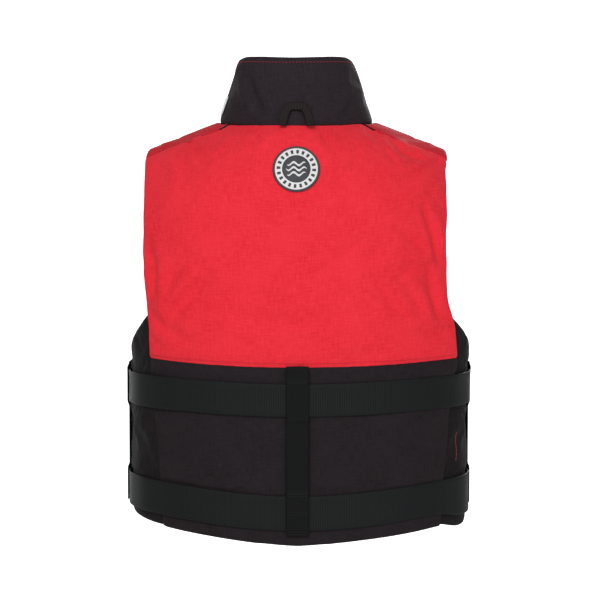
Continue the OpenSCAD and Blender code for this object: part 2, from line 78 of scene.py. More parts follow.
def belly(x):
    return (1 - np.minimum(np.abs(x) / HALF_WIDTH, 1) ** SQUARENESS) ** (1 / SQUARENESS)


def ridge_z(x):
    return NECK_Z + SHOULDER_SLOPE * (NECK_X - np.abs(x))


def hem_z(x):
    return HEM_RISE * np.minimum(np.abs(x) / HALF_WIDTH, 1) ** 1.32


UPPER_BELT_Z, LOWER_BELT_Z = 164.0, 34.0
BELTS = (("upper_belt", UPPER_BELT_Z, 0.3), ("lower_belt", LOWER_BELT_Z, 0.67))


def belt_rise(x, follow):
    """How far a belt climbs from the spine to the sides."""
    return follow * HEM_RISE * (1 - (1 - np.minimum(np.abs(x) / HALF_WIDTH, 1) ** 2) ** 2)


def front_y(z):
    return FRONT_DEPTH - FRONT_LEAN * z


def back_spring(x):
    return ridge_z(x) - BACK_CURVE


def front_spring(x):
    lift = FRONT_NECK_LIFT * np.maximum(0, 1 - (x / NECK_X) ** 2) ** 2
    return ridge_z(x) + lift - FRONT_CURVE


def torso(x, q):
    """Points of the jacket's outer surface."""
    x, q = np.broadcast_arrays(np.asarray(x, float), np.asarray(q, float))
    back, turn = q <= 2, np.where(q <= 2, q - 1, 3 - q)
    spring = np.where(back, back_spring(x), front_spring(x))
    curve = np.where(back, BACK_CURVE, FRONT_CURVE)
    straight = np.where(back, q, 4 - q)
    angle = np.radians(90 * np.clip(turn, 0, 1))
    z = np.where(turn > 0, spring + curve * np.sin(angle), mix(hem_z(x), spring, straight))
    depth = np.where(back, BACK_DEPTH, -front_y(z)) * belly(x) * np.cos(angle)
    return np.stack([x, depth, z], -1)


def profile_q(x, z, back=True):
    """Place along the profile of height z, on the back or on the front."""
    x, z = np.broadcast_arrays(np.asarray(x, float), np.asarray(z, float))
    spring = back_spring(x) if back else front_spring(x)
    curve = BACK_CURVE if back else FRONT_CURVE
    low = (z - hem_z(x)) / (spring - hem_z(x))
    high = 1 + np.degrees(np.arcsin(np.clip((z - spring) / curve, 0, 1))) / 90
    q = np.where(z < spring, low, high)
    return q if back else 4 - q


def neck_z(x, dip):
    return NECK_Z - dip * np.sqrt(np.maximum(0, 1 - (x / NECK_X) ** 2))


def back_neck_q(x, drop=0.0):
    z = np.where(np.abs(x) < NECK_X, neck_z(x, 7.0), ridge_z(x))
    return profile_q(x, z - drop)


def front_neck_q(x, drop=0.0):
    z = np.where(np.abs(x) < NECK_X, neck_z(x, 50.0), ridge_z(x))
    return profile_q(x, z - drop, back=False)


def ring(angle, z):
    """Points of the ring below the armholes; 0 degrees is the wearer's left and 90 the back."""
    angle, z = np.broadcast_arrays(np.asarray(angle, float), np.asarray(z, float))
    c, s = np.cos(np.radians(angle)), np.sin(np.radians(angle))
    e = 2 / SQUARENESS
    depth = np.where(s > 0, BACK_DEPTH, front_y(z))
    return np.stack([HALF_WIDTH * np.sign(c) * np.abs(c) ** e, depth * np.sign(s) * np.abs(s) ** e, z], -1)


def ring_angle(x):
    return np.degrees(np.arccos((x / HALF_WIDTH) ** (SQUARENESS / 2)))


def back_edge(z):
    """Half-width of the back at height z: it widens up to the waist and draws in a little above it."""
    below, above = 18 * np.minimum(z, 205) / 205, 1.2 * np.clip((z - 205) / 50, 0, 1)
    return 163 + below - above + 1.5 * smooth((z - 300) / 80)


def front_edge(z):
    """Half-width of a front at height z: it widens beside the armhole."""
    return SIDE_FRONT_X - 0.8 + 10 * np.clip((z - ARMHOLE_Z) / 150, 0, 1)


def squared(c):
    return np.sign(c) * np.abs(c) ** 0.85


def collar(angle, v):
    """Points of the collar's outer face; v is 0 at the neckline and 1 at the top edge."""
    angle, v = np.broadcast_arrays(np.asarray(angle, float), np.asarray(v, float))
    c, s = np.cos(np.radians(angle)), np.sin(np.radians(angle))
    x = NECK_X * c
    base = torso(x, np.where(s >= 0, back_neck_q(x), front_neck_q(x)))
    drop = np.where(s > 0, 10 * np.maximum(0, 1 - s) ** 2.5, 10 - 30 * s)
    z = 565.0 - drop - 3.6 * np.where(s > 0, np.maximum(0, 1 - c**2 / 0.8), 0)
    top = np.stack([70.0 * squared(c), np.where(s > 0, 84.0, front_y(z)) * squared(s), z], -1)
    return mix(base, top, v[..., None])


print("Back centre of the hem:", torso(0, 0), "shoulder ridge at the neck:", torso(NECK_X, 2))

# %% [markdown]
# ## Grids, cloth and padding
# A panel starts as a grid of points. Its outer face can be run as cloth: the fabric is cut a little larger
# than the foam under it, its seams are held, and air pushes from inside, so it puckers along the seams by
# itself. The face is then closed into a padded piece, whose two faces meet in a soft rounded edge.


# %% Grid helpers
def grid_normals(points):
    """Unit normals of a grid of points, by differences along its rows and columns."""
    normals = np.cross(np.gradient(points, axis=0), np.gradient(points, axis=1))
    length = np.linalg.norm(normals, axis=-1, keepdims=True)
    return normals / np.maximum(length, 1e-9)


def arc_lengths(points):
    """Distance along each column and along each row of a grid, in millimetres, for the weave."""
    du = np.linalg.norm(np.diff(points, axis=0), axis=-1)
    dv = np.linalg.norm(np.diff(points, axis=1), axis=-1)
    u = np.vstack([np.zeros((1, points.shape[1])), np.cumsum(du, axis=0)])
    v = np.hstack([np.zeros((points.shape[0], 1)), np.cumsum(dv, axis=1)])
    u = u - u[len(u) // 2]
    return u, v


def refine(points, times=1):
    """Puts a new row and column between each two, on a smooth curve through the old points."""
    for _ in range(times):
        for axis in (0, 1):
            p = np.moveaxis(points, axis, 0)
            padded = np.concatenate([2 * p[:1] - p[1:2], p, 2 * p[-1:] - p[-2:-1]])
            middle = (-padded[:-3] + 9 * padded[1:-2] + 9 * padded[2:-1] - padded[3:]) / 16
            out = np.empty((2 * len(p) - 1,) + p.shape[1:])
            out[0::2], out[1::2] = p, middle
            points = np.moveaxis(out, 0, axis)
    return points


def settle(points):
    """The worn jacket is not quite even: its back leans to one side and its right hem hangs lower."""
    x, y, z = np.moveaxis(np.asarray(points, float), -1, 0)
    behind = smooth((y + 40) / 80)
    shift = 1.3 * smooth((z - 240) / 80) - 2.4 * smooth((300 - z) / 120) * smooth(np.abs(x) / 120)
    shift -= 3.6 * smooth((-x - 150) / 40) * smooth((z - 175) / 30) * smooth((280 - z) / 40)
    drop = 2.8 * smooth((50 - z) / 50) + 14 * smooth((-x - 158) / 42) * smooth((46 - z) / 30)
    return np.stack([x + behind * shift, y, z - behind * drop], -1)


def new_mesh(name, points, faces, uvs=None, smooth_shading=True):
    """A mesh object from points in millimetres; uvs is one pair per point."""
    mesh = bpy.data.meshes.new(name)
    mesh.from_pydata((settle(points) / 1000).tolist(), [], faces)
    if uvs is not None:
        loops = np.zeros(len(mesh.loops), int)
        mesh.loops.foreach_get("vertex_index", loops)
        layer = mesh.uv_layers.new(name="cloth")
        layer.data.foreach_set("uv", (np.asarray(uvs, float)[loops] / 1000).ravel())
    mesh.polygons.foreach_set("use_smooth", [smooth_shading] * len(mesh.polygons))
    mesh.update()
    obj = bpy.data.objects.new(name, mesh)
    bpy.context.scene.collection.objects.link(obj)
    return obj


def grid_faces(nu, nv, start=0, flip=False):
    i, j = np.meshgrid(np.arange(nu - 1), np.arange(nv - 1), indexing="ij")
    a = start + i * nv + j
    quads = np.stack([a, a + nv, a + nv + 1, a + 1], -1).reshape(-1, 4)
    return (quads[:, ::-1] if flip else quads).tolist()


def held_border(points):
    """Cloth weights that hold the border of a grid, where its seams are."""
    held = np.zeros(points.shape[:2])
    held[[0, -1], :] = held[:, [0, -1]] = 1.0
    return held


def run_cloth(points, held, grow=0.02, pressure=3.0, frames=20, most=6.0):
    """Runs a grid as cloth with the held points fixed and returns where it comes to rest."""
    nu, nv = points.shape[:2]
    obj = new_mesh("cloth_run", points.reshape(-1, 3), grid_faces(nu, nv))
    group = obj.vertex_groups.new(name="held")
    for weight in np.unique(held[held > 0]):
        group.add(np.nonzero(held.ravel() == weight)[0].tolist(), float(weight), "REPLACE")
    cloth = obj.modifiers.new("cloth", "CLOTH")
    cloth.settings.quality = 6
    cloth.settings.mass = 0.25
    cloth.settings.tension_stiffness = cloth.settings.compression_stiffness = 25
    cloth.settings.shear_stiffness = 12
    cloth.settings.bending_stiffness = 1.2
    cloth.settings.vertex_group_mass = "held"
    cloth.settings.shrink_min = -grow
    cloth.settings.use_pressure = True
    cloth.settings.uniform_pressure_force = pressure
    cloth.settings.effector_weights.gravity = 0
    cloth.collision_settings.use_self_collision = False
    for number in range(1, frames + 1):
        bpy.context.scene.frame_set(number)
    evaluated = obj.evaluated_get(bpy.context.evaluated_depsgraph_get())
    out = np.array([v.co for v in evaluated.data.vertices]).reshape(nu, nv, 3) * 1000
    mesh = obj.data
    bpy.data.objects.remove(obj)
    bpy.data.meshes.remove(mesh)
    bpy.context.scene.frame_set(1)
    move = out - points
    length = np.linalg.norm(move, axis=-1, keepdims=True)
    move *= np.minimum(1, most / np.maximum(length, 1e-9))
    print(f"  cloth of {nu} x {nv} points moved {length.mean():.2f} mm, {length.max():.2f} at most")
    return points + move


print("Grid helpers ready")

# %% [markdown]
# ## Closing a panel into a padded piece
# A padded piece has an outer face, an inner face that comes closer to it near the edges, and a half-round rim
# that joins the two, as a seam turned inside out does.


# %% Padded pieces
def border_loop(nu, nv):
    """Grid indices round the border, anticlockwise from the first corner."""
    return (
        [(i, 0) for i in range(nu)]
        + [(nu - 1, j) for j in range(1, nv)]
        + [(i, nv - 1) for i in range(nu - 2, -1, -1)]
        + [(0, j) for j in range(nv - 2, 0, -1)]
    )


def edge_distance(points, edges="lrbt"):
    """Distance of each grid point from the nearest of the named borders (left, right, bottom, top)."""
    u, v = arc_lengths(points)
    u = u - u[:1]
    away = np.full(points.shape[:2], 1e9)
    if "l" in edges:
        away = np.minimum(away, u)
    if "r" in edges:
        away = np.minimum(away, u[-1:] - u)
    if "b" in edges:
        away = np.minimum(away, v)
    if "t" in edges:
        away = np.minimum(away, v[:, -1:] - v)
    return away


def calmed(points, passes=40):
    """The grid with its small folds smoothed away and its border kept, as a lining lies behind foam."""
    out = points.copy()
    for _ in range(passes):
        out[1:-1] = (out[:-2] + 2 * out[1:-1] + out[2:]) / 4
        out[:, 1:-1] = (out[:, :-2] + 2 * out[:, 1:-1] + out[:, 2:]) / 4
    return out


def close_panel(outer, thickness, edge=4.0, steps=5, taper=26.0):
    """Closes an outer grid: gives the points, faces, cloth coordinates, face regions and border loop."""
    nu, nv = outer.shape[:2]
    normals = grid_normals(outer)
    away = edge_distance(outer)
    depth = mix(2 * edge, thickness, smooth(away / taper))
    lining = calmed(outer) if thickness > 2 * edge else outer
    inner = lining - grid_normals(lining) * depth[..., None]
    u, v = arc_lengths(outer)
    loop = border_loop(nu, nv)
    at = np.array([outer[i, j] for i, j in loop])
    n = np.array([normals[i, j] for i, j in loop])
    inside = np.array([outer[min(max(i, 1), nu - 2), min(max(j, 1), nv - 2)] for i, j in loop])
    out = at - inside
    out -= n * np.sum(out * n, axis=1, keepdims=True)
    out /= np.maximum(np.linalg.norm(out, axis=1, keepdims=True), 1e-9)
    for _ in range(6):
        out = (np.roll(out, 1, axis=0) + 2 * out + np.roll(out, -1, axis=0)) / 4
        n = (np.roll(n, 1, axis=0) + 2 * n + np.roll(n, -1, axis=0)) / 4
    out /= np.maximum(np.linalg.norm(out, axis=1, keepdims=True), 1e-9)
    n /= np.maximum(np.linalg.norm(n, axis=1, keepdims=True), 1e-9)
    uv_loop = np.array([(u[i, j], v[i, j]) for i, j in loop])
    points = [outer.reshape(-1, 3), inner.reshape(-1, 3)]
    uvs = [np.stack([u, v], -1).reshape(-1, 2)] * 2
    faces = grid_faces(nu, nv) + grid_faces(nu, nv, start=nu * nv, flip=True)
    regions = ["outer"] * ((nu - 1) * (nv - 1)) + ["inner"] * ((nu - 1) * (nv - 1))
    outer_ids = [i * nv + j for i, j in loop]
    rows = [outer_ids]
    total = 2 * nu * nv
    for k in range(1, steps):
        a = math.pi * k / steps
        points.append(at + out * edge * math.sin(a) - n * edge * (1 - math.cos(a)))
        uvs.append(uv_loop + (k / steps) * edge)
        rows.append(list(range(total, total + len(loop))))
        total += len(loop)
    rows.append([i + nu * nv for i in outer_ids])
    for k in range(steps):
        a, b = rows[k], rows[k + 1]
        for m in range(len(loop)):
            p = (m + 1) % len(loop)
            faces.append([a[p], a[m], b[m], b[p]])
            regions.append("rim" if k < steps - 1 else "rim_inner")
    return np.concatenate(points), faces, np.concatenate(uvs), regions, loop


def add_materials(obj, names):
    for name in names:
        obj.data.materials.append(material(name))


def swing_with(piece, side, front=False):
    """A piece in front moves with its half; one behind keeps its place, with its transform baked into its
    points.
    """
    if front:
        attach(piece, f"{side}_half")
        return
    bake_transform(piece)


def padded_piece(name, outer, thickness, colours, region_of=None, rim_of=None, **shape):
    """Closes a grid into an object; region_of and rim_of pick the colour of its face and rim at (i, j)."""
    rim_of = rim_of or region_of
    points, faces, uvs, regions, loop = close_panel(outer, thickness, **shape)
    obj = new_mesh(name, points, faces, uvs)
    add_materials(obj, colours)
    nu, nv = outer.shape[:2]
    area, indices = (nu - 1) * (nv - 1), []
    for number, region in enumerate(regions):
        if region in ("inner", "rim_inner"):
            indices.append(len(colours) - 1)
        elif region == "outer":
            indices.append(region_of(number // (nv - 1), number % (nv - 1)) if region_of else 0)
        else:
            at = (number - 2 * area) % len(loop)
            j = min(loop[at][1], loop[(at + 1) % len(loop)][1])
            indices.append(rim_of(loop[at][0], j) if rim_of else 0)
    obj.data.polygons.foreach_set("material_index", indices)
    return obj


def split_up(name, obj, round_the_front=False):
    """Cuts a piece at x = 0, and one that reaches round the front at the side too, with unbroken shading."""
    mesh = obj.data
    normals = np.array([v.vector for v in mesh.vertex_normals])
    co = np.array([v.co for v in mesh.vertices])
    cuts = [("left", 1, ""), ("right", -1, "")]
    if round_the_front:
        cuts += [("left", 1, "_front"), ("right", -1, "_front")]
    out = []
    for side, sign, place in cuts:
        keep = [p for p in mesh.polygons if p.center.x * sign > 0]
        if round_the_front:
            keep = [p for p in keep if (p.center.y < 0) == (place == "_front")]
        ids = sorted({i for p in keep for i in p.vertices})
        new_id = {old: new for new, old in enumerate(ids)}
        half = bpy.data.meshes.new(f"{side}_{name}{place}")
        half.from_pydata(co[ids].tolist(), [], [[new_id[i] for i in p.vertices] for p in keep])
        for m in mesh.materials:
            half.materials.append(m)
        half.polygons.foreach_set("material_index", [p.material_index for p in keep])
        half.polygons.foreach_set("use_smooth", [p.use_smooth for p in keep])
        for layer in mesh.uv_layers:
            copy = half.uv_layers.new(name=layer.name)
            pairs = [layer.data[i].uv[:] for p in keep for i in p.loop_indices]
            copy.data.foreach_set("uv", np.array(pairs).ravel())
        half.update()
        half.normals_split_custom_set_from_vertices(normals[ids].tolist())
        piece = bpy.data.objects.new(f"{side}_{name}{place}", half)
        bpy.context.scene.collection.objects.link(piece)
        swing_with(piece, side, place == "_front")
        out.append(piece)
    bpy.data.objects.remove(obj)
    bpy.data.meshes.remove(mesh)
    return out


# %% [markdown]
# ## Materials
# Colours are sRGB hex values, turned linear by one function. The weave's pattern is in real millimetres along
# the cloth, which each mesh carries as its cloth coordinates in metres.


# %% Materials
def linear(code):
    """sRGB hex colour to linear RGBA."""
    parts = [int(code[i : i + 2], 16) / 255 for i in (1, 3, 5)]
    return tuple(c / 12.92 if c <= 0.04045 else ((c + 0.055) / 1.055) ** 2.4 for c in parts) + (1.0,)


def node(tree, kind, links=None, **values):
    """Adds a node, sets its properties and input values, and links its inputs."""
    made = tree.nodes.new("ShaderNode" + kind)
    for key, value in values.items():
        if hasattr(made, key):
            setattr(made, key, value)
        else:
            made.inputs[key.replace("_", " ")].default_value = value
    for key, source in (links or {}).items():
        tree.links.new(source, made.inputs[key])
    return made


def maths(tree, operation, a, b=None, **values):
    """The outcome of a maths node; a is a socket and b a socket or a number."""
    made = node(tree, "Math", {0: a}, operation=operation, **values)
    if isinstance(b, (int, float)):
        made.inputs[1].default_value = b
    elif b is not None:
        tree.links.new(b, made.inputs[1])
    return made.outputs[0]


def set_values(made, **values):
    for key, value in values.items():
        made.inputs[key.replace("_", " ")].default_value = value


def new_material(name):
    made = bpy.data.materials.new(name)
    made.use_nodes = True
    tree = made.node_tree
    shader = tree.nodes["Principled BSDF"]
    return made, tree, shader


def dye_and_painted_light_with_relief(tree, shader, share, colours, height, strength, depth):
    """Mixes two hex colours by share for the colour (dye tones on nylon; a painted highlight on the rib
    crests and painted shade in their hollows on webbing) and turns height into relief of that depth in
    metres.
    """
    blend = node(tree, "Mix", data_type="RGBA")
    tree.links.new(share, blend.inputs["Factor"])
    blend.inputs["A"].default_value, blend.inputs["B"].default_value = (linear(code) for code in colours)
    tree.links.new(blend.outputs["Result"], shader.inputs["Base Color"])
    relief = node(tree, "Bump", {"Height": height}, Strength=strength, Distance=depth)
    tree.links.new(relief.outputs["Normal"], shader.inputs["Normal"])


PER_METRE = 2 * math.pi * 1000


def cloth_material(name, colour, dark, weave_mm, grid_mm=0.0, rough=0.8, sheen=0.3, slub=0.5, bump=0.25):
    """Plain-weave nylon with faint thicker slubs in both sets of threads, ripstop if grid_mm is set."""
    made, tree, shader = new_material(name)
    coords = node(tree, "UVMap", uv_map="cloth").outputs["UV"]
    split = node(tree, "SeparateXYZ", {"Vector": coords})
    heights = []
    for axis in ("X", "Y"):
        scaled = maths(tree, "MULTIPLY", split.outputs[axis], PER_METRE / weave_mm)
        heights.append(maths(tree, "SINE", scaled))
    weave = maths(tree, "MULTIPLY", *heights)
    shades = []
    for scale in ((80.0, 620.0, 1.0), (620.0, 80.0, 1.0)):
        stretched = node(tree, "VectorMath", {0: coords}, operation="MULTIPLY")
        stretched.inputs[1].default_value = scale
        thread = node(tree, "TexNoise", {"Vector": stretched.outputs[0]}, Scale=1.0, Detail=2.0)
        shades.append(thread.outputs["Fac"])
    ramp = node(tree, "MapRange", {"Value": maths(tree, "ADD", *shades)}, From_Min=0.7, From_Max=1.3)
    shade = ramp.outputs["Result"]
    if grid_mm:
        lines = []
        for axis in ("X", "Y"):
            scaled = maths(tree, "MULTIPLY", split.outputs[axis], PER_METRE / 2 / grid_mm)
            size = maths(tree, "ABSOLUTE", maths(tree, "SINE", scaled))
            line = node(tree, "MapRange", {"Value": size}, From_Max=0.28, To_Min=1.0, To_Max=0.0)
            lines.append(line.outputs["Result"])
        grid = maths(tree, "MAXIMUM", *lines)
    soft = node(tree, "TexNoise", {"Vector": coords}, Scale=24.0, Detail=3.0).outputs["Fac"]
    amount = maths(tree, "MULTIPLY", maths(tree, "MULTIPLY", shade, slub), soft)
    height = maths(tree, "ADD", weave, shade)
    if grid_mm:
        amount = maths(tree, "ADD", amount, maths(tree, "MULTIPLY", grid, 0.12), use_clamp=True)
        height = maths(tree, "ADD", height, grid)
    dye_and_painted_light_with_relief(tree, shader, amount, (colour, dark), height, bump, 0.00012)
    set_values(shader, Roughness=rough, Specular_IOR_Level=0.18, Sheen_Weight=sheen, Sheen_Roughness=0.5)
    return made


def webbing_material(name, colour, dark, rib_mm=2.2):
    """Woven webbing: ribs across the strap, a finer thread along it, and a slight painted highlight on the
    rib crests with painted shade in the hollows between them.
    """
    made, tree, shader = new_material(name)
    coords = node(tree, "UVMap", uv_map="cloth").outputs["UV"]
    split = node(tree, "SeparateXYZ", {"Vector": coords})
    rib = maths(tree, "MULTIPLY", split.outputs["X"], PER_METRE / rib_mm)
    across = maths(tree, "MULTIPLY", split.outputs["Y"], PER_METRE / 1.1)
    wave = maths(tree, "SINE", maths(tree, "ADD", rib, maths(tree, "SINE", across)))
    ribs = node(tree, "MapRange", {"Value": wave}, From_Min=-1.0).outputs["Result"]
    fibre = node(tree, "TexNoise", {"Vector": coords}, Scale=900.0, Detail=2.0).outputs["Fac"]
    # the rib crests take the lighter colour as a painted highlight and the hollows the darker colour as
    # painted shade
    dye_and_painted_light_with_relief(tree, shader, maths(tree, "MULTIPLY", ribs, fibre), (dark, colour), ribs, 0.5, 0.0003)
    set_values(shader, Roughness=0.55, Specular_IOR_Level=0.16)
    return made


def plain_material(
    name, colour, rough, metal=0.0, spread=0.08, grain=220.0, bump=0.05, specular=0.5, glow=0.0
):
    """Moulded or cast material with a faint uneven gloss and surface grain."""
    made, tree, shader = new_material(name)
    place = node(tree, "TexCoord").outputs["Object"]
    noise = node(tree, "TexNoise", {"Vector": place}, Scale=grain, Detail=4.0).outputs["Fac"]
    gloss = node(tree, "MapRange", {"Value": noise})
    set_values(gloss, To_Min=max(0.02, rough - spread), To_Max=min(1.0, rough + spread))
    tree.links.new(gloss.outputs["Result"], shader.inputs["Roughness"])
    relief = node(tree, "Bump", {"Height": noise}, Strength=bump, Distance=0.0002)
    tree.links.new(relief.outputs["Normal"], shader.inputs["Normal"])
    set_values(shader, Base_Color=linear(colour), Metallic=metal, Specular_IOR_Level=specular)
    if glow:
        set_values(shader, Emission_Color=linear(colour), Emission_Strength=glow)
    return made


def recipe(maker, *values, **options):
    """A material, made under its own name when a piece first asks for it."""
    return lambda name: maker(name, *values, **options)


RIPSTOP = {"weave_mm": 0.9, "grid_mm": 5.2}


MATERIALS = {
    # 500-denier nylon with a ripstop grid, dyed crimson
    "crimson_nylon": recipe(cloth_material, "#FF3644", "#E81E2D", sheen=0.02, slub=1.3, **RIPSTOP),
    # the fronts' crimson, painted a shade darker than the back's as painted shade on the band where the
    # fronts turn back over the shoulders, away from the light
    "crimson_cross": recipe(cloth_material, "#DB2937", "#BE1826", sheen=0.02, slub=1.3, **RIPSTOP),
    # the same nylon in black with a brown-violet cast
    "black_nylon": recipe(cloth_material, "#282125", "#181316", sheen=0.01, slub=1.3, **RIPSTOP),
    # the side panels' black, painted a shade darker than the black nylon as painted shade on the sides, which
    # face away from the lights
    "black_cross": recipe(cloth_material, "#1D181B", "#110E10", sheen=0.01, slub=1.3, **RIPSTOP),
    # the collar's nylon, painted a shade lighter than the black nylon as painted light, for the light it
    # catches where it stands up
    "collar_nylon": recipe(cloth_material, "#30272D", "#1E181C", sheen=0.01, slub=1.2, **RIPSTOP),
    # smooth black taffeta lining
    "black_taffeta": recipe(cloth_material, "#1D1B1E", "#131214", 0.5, rough=0.6, sheen=0.01),
    # ribbed polypropylene webbing
    "black_webbing": recipe(webbing_material, "#2B2E2F", "#0C0E0E", 2.7),
    # tighter, darker webbing of the keepers
    "keeper_webbing": recipe(webbing_material, "#151617", "#040505", 1.9),
    # narrow grosgrain tape, its rib crests painted reddish-brown as a painted highlight
    "black_grosgrain": recipe(webbing_material, "#3B2A2B", "#080606", 3.6),
    # the zip's knitted tape
    "zip_tape": recipe(webbing_material, "#1E1D1F", "#0A090A", 1.2),
    # moulded acetal
    "black_acetal": recipe(plain_material, "#0D0E0F", 0.42, specular=0.35, grain=400.0, bump=0.12),
    # bonded polyester thread
    "red_thread": recipe(plain_material, "#B5283A", 0.6, grain=900.0),
    "black_thread": recipe(plain_material, "#161517", 0.55, grain=900.0),
    # zinc-plated steel wire
    "plated_steel": recipe(plain_material, "#C9CBCD", 0.22, metal=1.0, spread=0.05, bump=0.02),
    # silver retro-reflective tape
    "reflective_tape": recipe(plain_material, "#DDE2E3", 0.34, metal=0.1, grain=700.0, bump=0.12),
    # soft moulded badge rubber in three tones
    "badge_grey": recipe(plain_material, "#3E4046", 0.62, grain=500.0),
    "badge_white": recipe(plain_material, "#F0F0EF", 0.6, grain=500.0),
    # matt painted studio paper
    "studio_paper": recipe(plain_material, "#F4F4F4", 0.95, grain=3.0, bump=0.0, specular=0.1, glow=0.1),
    # white backdrop cloth lit from behind
    "lit_backdrop": recipe(plain_material, "#FFFFFF", 0.95, grain=3.0, bump=0.0, specular=0.0, glow=1.0),
}
made_materials = {}


def material(name):
    if name not in made_materials:
        made_materials[name] = MATERIALS[name](name)
    return made_materials[name]


print("Materials ready:", ", ".join(MATERIALS))

# %% [markdown]
# ## Folds in the cloth
# Loose cloth falls into a few folds where the arms and shoulders pull at it. Each fold is a short path on the
# panel, with a width and a depth in millimetres that fade out at its ends; a negative depth is a crease.


# %% Folds
def fold_relief(points, folds, axes=(0, 2)):
    """Height added to a grid of points by a list of folds, each (path, width, depth)."""
    flat = points[..., axes]
    relief = np.zeros(points.shape[:2])
    for path, width, depth in folds:
        path = np.asarray(path, float)
        lengths = np.concatenate([[0], np.cumsum(np.linalg.norm(np.diff(path, axis=0), axis=1))])
        near, along = np.full(relief.shape, 1e9), np.zeros(relief.shape)
        for k in range(len(path) - 1):
            leg = path[k + 1] - path[k]
            t = np.clip(((flat - path[k]) @ leg) / (leg @ leg), 0, 1)
            away = np.linalg.norm(flat - (path[k] + t[..., None] * leg), axis=-1)
            along = np.where(away < near, lengths[k] + t * np.linalg.norm(leg), along)
            near = np.minimum(near, away)
        share = along / lengths[-1]
        fade = np.sin(math.pi * np.clip(0.12 + 0.76 * share, 0, 1)) ** 0.8
        ridge = np.exp(-((near / width) ** 2)) - 0.45 * np.exp(-(((near - 1.9 * width) / width) ** 2))
        relief += depth * fade * ridge
    return relief


def under_belts(points):
    """1 where a belt presses a panel flat, fading to 0 beside it."""
    zone = np.zeros(points.shape[:2])
    for _, belt_z, follow in BELTS:
        away = np.abs(points[..., 2] - belt_z - belt_rise(points[..., 0], follow))
        zone = np.maximum(zone, smooth((28 - away) / 8))
    return zone


def soft_waves(points, size, height, seed):
    """Broad uneven swelling, so that no panel is a perfect curve."""
    rng = np.random.default_rng(seed)
    relief = np.zeros(points.shape[:2])
    for _ in range(14):
        direction = rng.normal(size=3)
        direction /= np.linalg.norm(direction)
        wave = 2 * math.pi / (size * rng.uniform(0.7, 1.8))
        relief += np.sin(points @ direction * wave + rng.uniform(0, 2 * math.pi)) / 14**0.5
    return relief * height


# %% [markdown]
# ## The back
# One padded piece from armhole to armhole: crimson above the waist seam and black below it. It is cut at the
# spine afterwards into its left and right sides.

# %% Back panel
WAIST_Z, WAIST_RISE = 202.0, 7.0
STEP = 5.0
MARGIN = 3.5
BODY_PADDING, SIDE_PADDING, COLLAR_PADDING = 24.0, 15.0, 11.0
LOWER_BACK, UPPER_BACK = 200, 285


def press_seam(face, row, width=1.8, depth=1.4):
    """Presses the seam along one row of a face into its padding."""
    run = arc_lengths(face)[1]
    seam = np.exp(-(((run - run[:, row : row + 1]) / width) ** 2))
    return face - grid_normals(face) * (seam * depth)[..., None]


def waist_q(x):
    return profile_q(x, WAIST_Z + WAIST_RISE * (x / ARMHOLE_X) ** 2)


def back_grid(step, margin):
    """Outer face of the back; margin keeps its border inside the real edge, which the rim then fills."""
    columns = 2 * int(round(ARMHOLE_X / step))
    low, high = int(round(LOWER_BACK / step)), int(round(UPPER_BACK / step))
    rows = low + high
    u = np.linspace(1, -1, columns + 1)[:, None]
    v = np.arange(rows + 1)[None, :] / low
    ref = ARMHOLE_X * np.ones(1)
    above = (v - 1) * low / high
    q_edge = np.where(v <= 1, mix(0, waist_q(ref), v), mix(waist_q(ref), SHOULDER_SEAM_Q, above))
    edge = back_edge(torso(ref, q_edge)[..., 2]) - margin
    share = np.sign(u) * np.abs(u) ** 0.96
    x = share * edge
    top = np.minimum(back_neck_q(x, -0.8), SHOULDER_SEAM_Q)
    bottom = profile_q(x, hem_z(x) + margin)
    q = np.where(v <= 1, mix(bottom, waist_q(x), v), mix(waist_q(x), top, above))
    return torso(x, q), low


BACK_FOLDS = [
    ([(173, 350), (168, 322), (166, 282)], 5.5, -4.6),
    ([(150, 322), (157, 292), (163, 262)], 6.5, 3.2),
    ([(100, 308), (122, 284), (146, 258)], 7.0, -3.2),
    ([(120, 312), (141, 286), (158, 262)], 8.0, 3.0),
    ([(172, 268), (156, 246), (130, 232)], 7.0, -2.2),
    ([(-150, 386), (-161, 356), (-168, 320)], 5.0, -4.4),
    ([(-168, 372), (-172, 350), (-173, 326)], 5.0, 2.6),
    ([(-157, 320), (-161, 290), (-163, 260)], 5.5, -4.2),
    ([(-92, 306), (-108, 280), (-126, 254)], 7.0, -2.8),
    ([(-118, 364), (-132, 350), (-150, 338)], 6.0, -2.0),
    ([(-138, 302), (-148, 276), (-156, 248)], 7.0, 3.0),
    ([(-170, 440), (-148, 429), (-122, 416)], 4.5, -2.6),
    ([(-168, 424), (-145, 410), (-130, 392)], 6.5, 2.0),
    ([(130, 468), (117, 453), (104, 440)], 4.5, -3.0),
    ([(-112, 462), (-128, 450), (-150, 442)], 4.5, -3.0),
    ([(150, 452), (140, 425), (146, 395)], 8.0, 1.8),
    ([(60, 262), (20, 252), (-40, 258)], 9.0, -1.2),
]

base, low_rows = back_grid(STEP, MARGIN)
relief = fold_relief(base, BACK_FOLDS) * smooth(0.25 + edge_distance(base, "lr") / 14)
relief += soft_waves(base, 70, 0.5, 3)
from_badge = np.hypot(base[..., 0], base[..., 2] - 430)
relief *= smooth((from_badge - 27) / 25) * (1 - under_belts(base))
base = base + grid_normals(base) * relief[..., None]
held = held_border(base)
held[:, low_rows] = 1.0
held[:, 1], held[:, -2] = np.maximum(held[:, 1], 0.6), np.maximum(held[:, -2], 0.6)
held[under_belts(base) > 0.5] = 1.0
held[from_badge < 32] = 0.95
held[np.abs(base[..., 0]) < 16] = np.maximum(held[np.abs(base[..., 0]) < 16], 0.5)
print("Back panel:")
low_rows *= 2
back_face = press_seam(refine(run_cloth(base, held, grow=0.012, pressure=2.5, most=5.0)), low_rows)
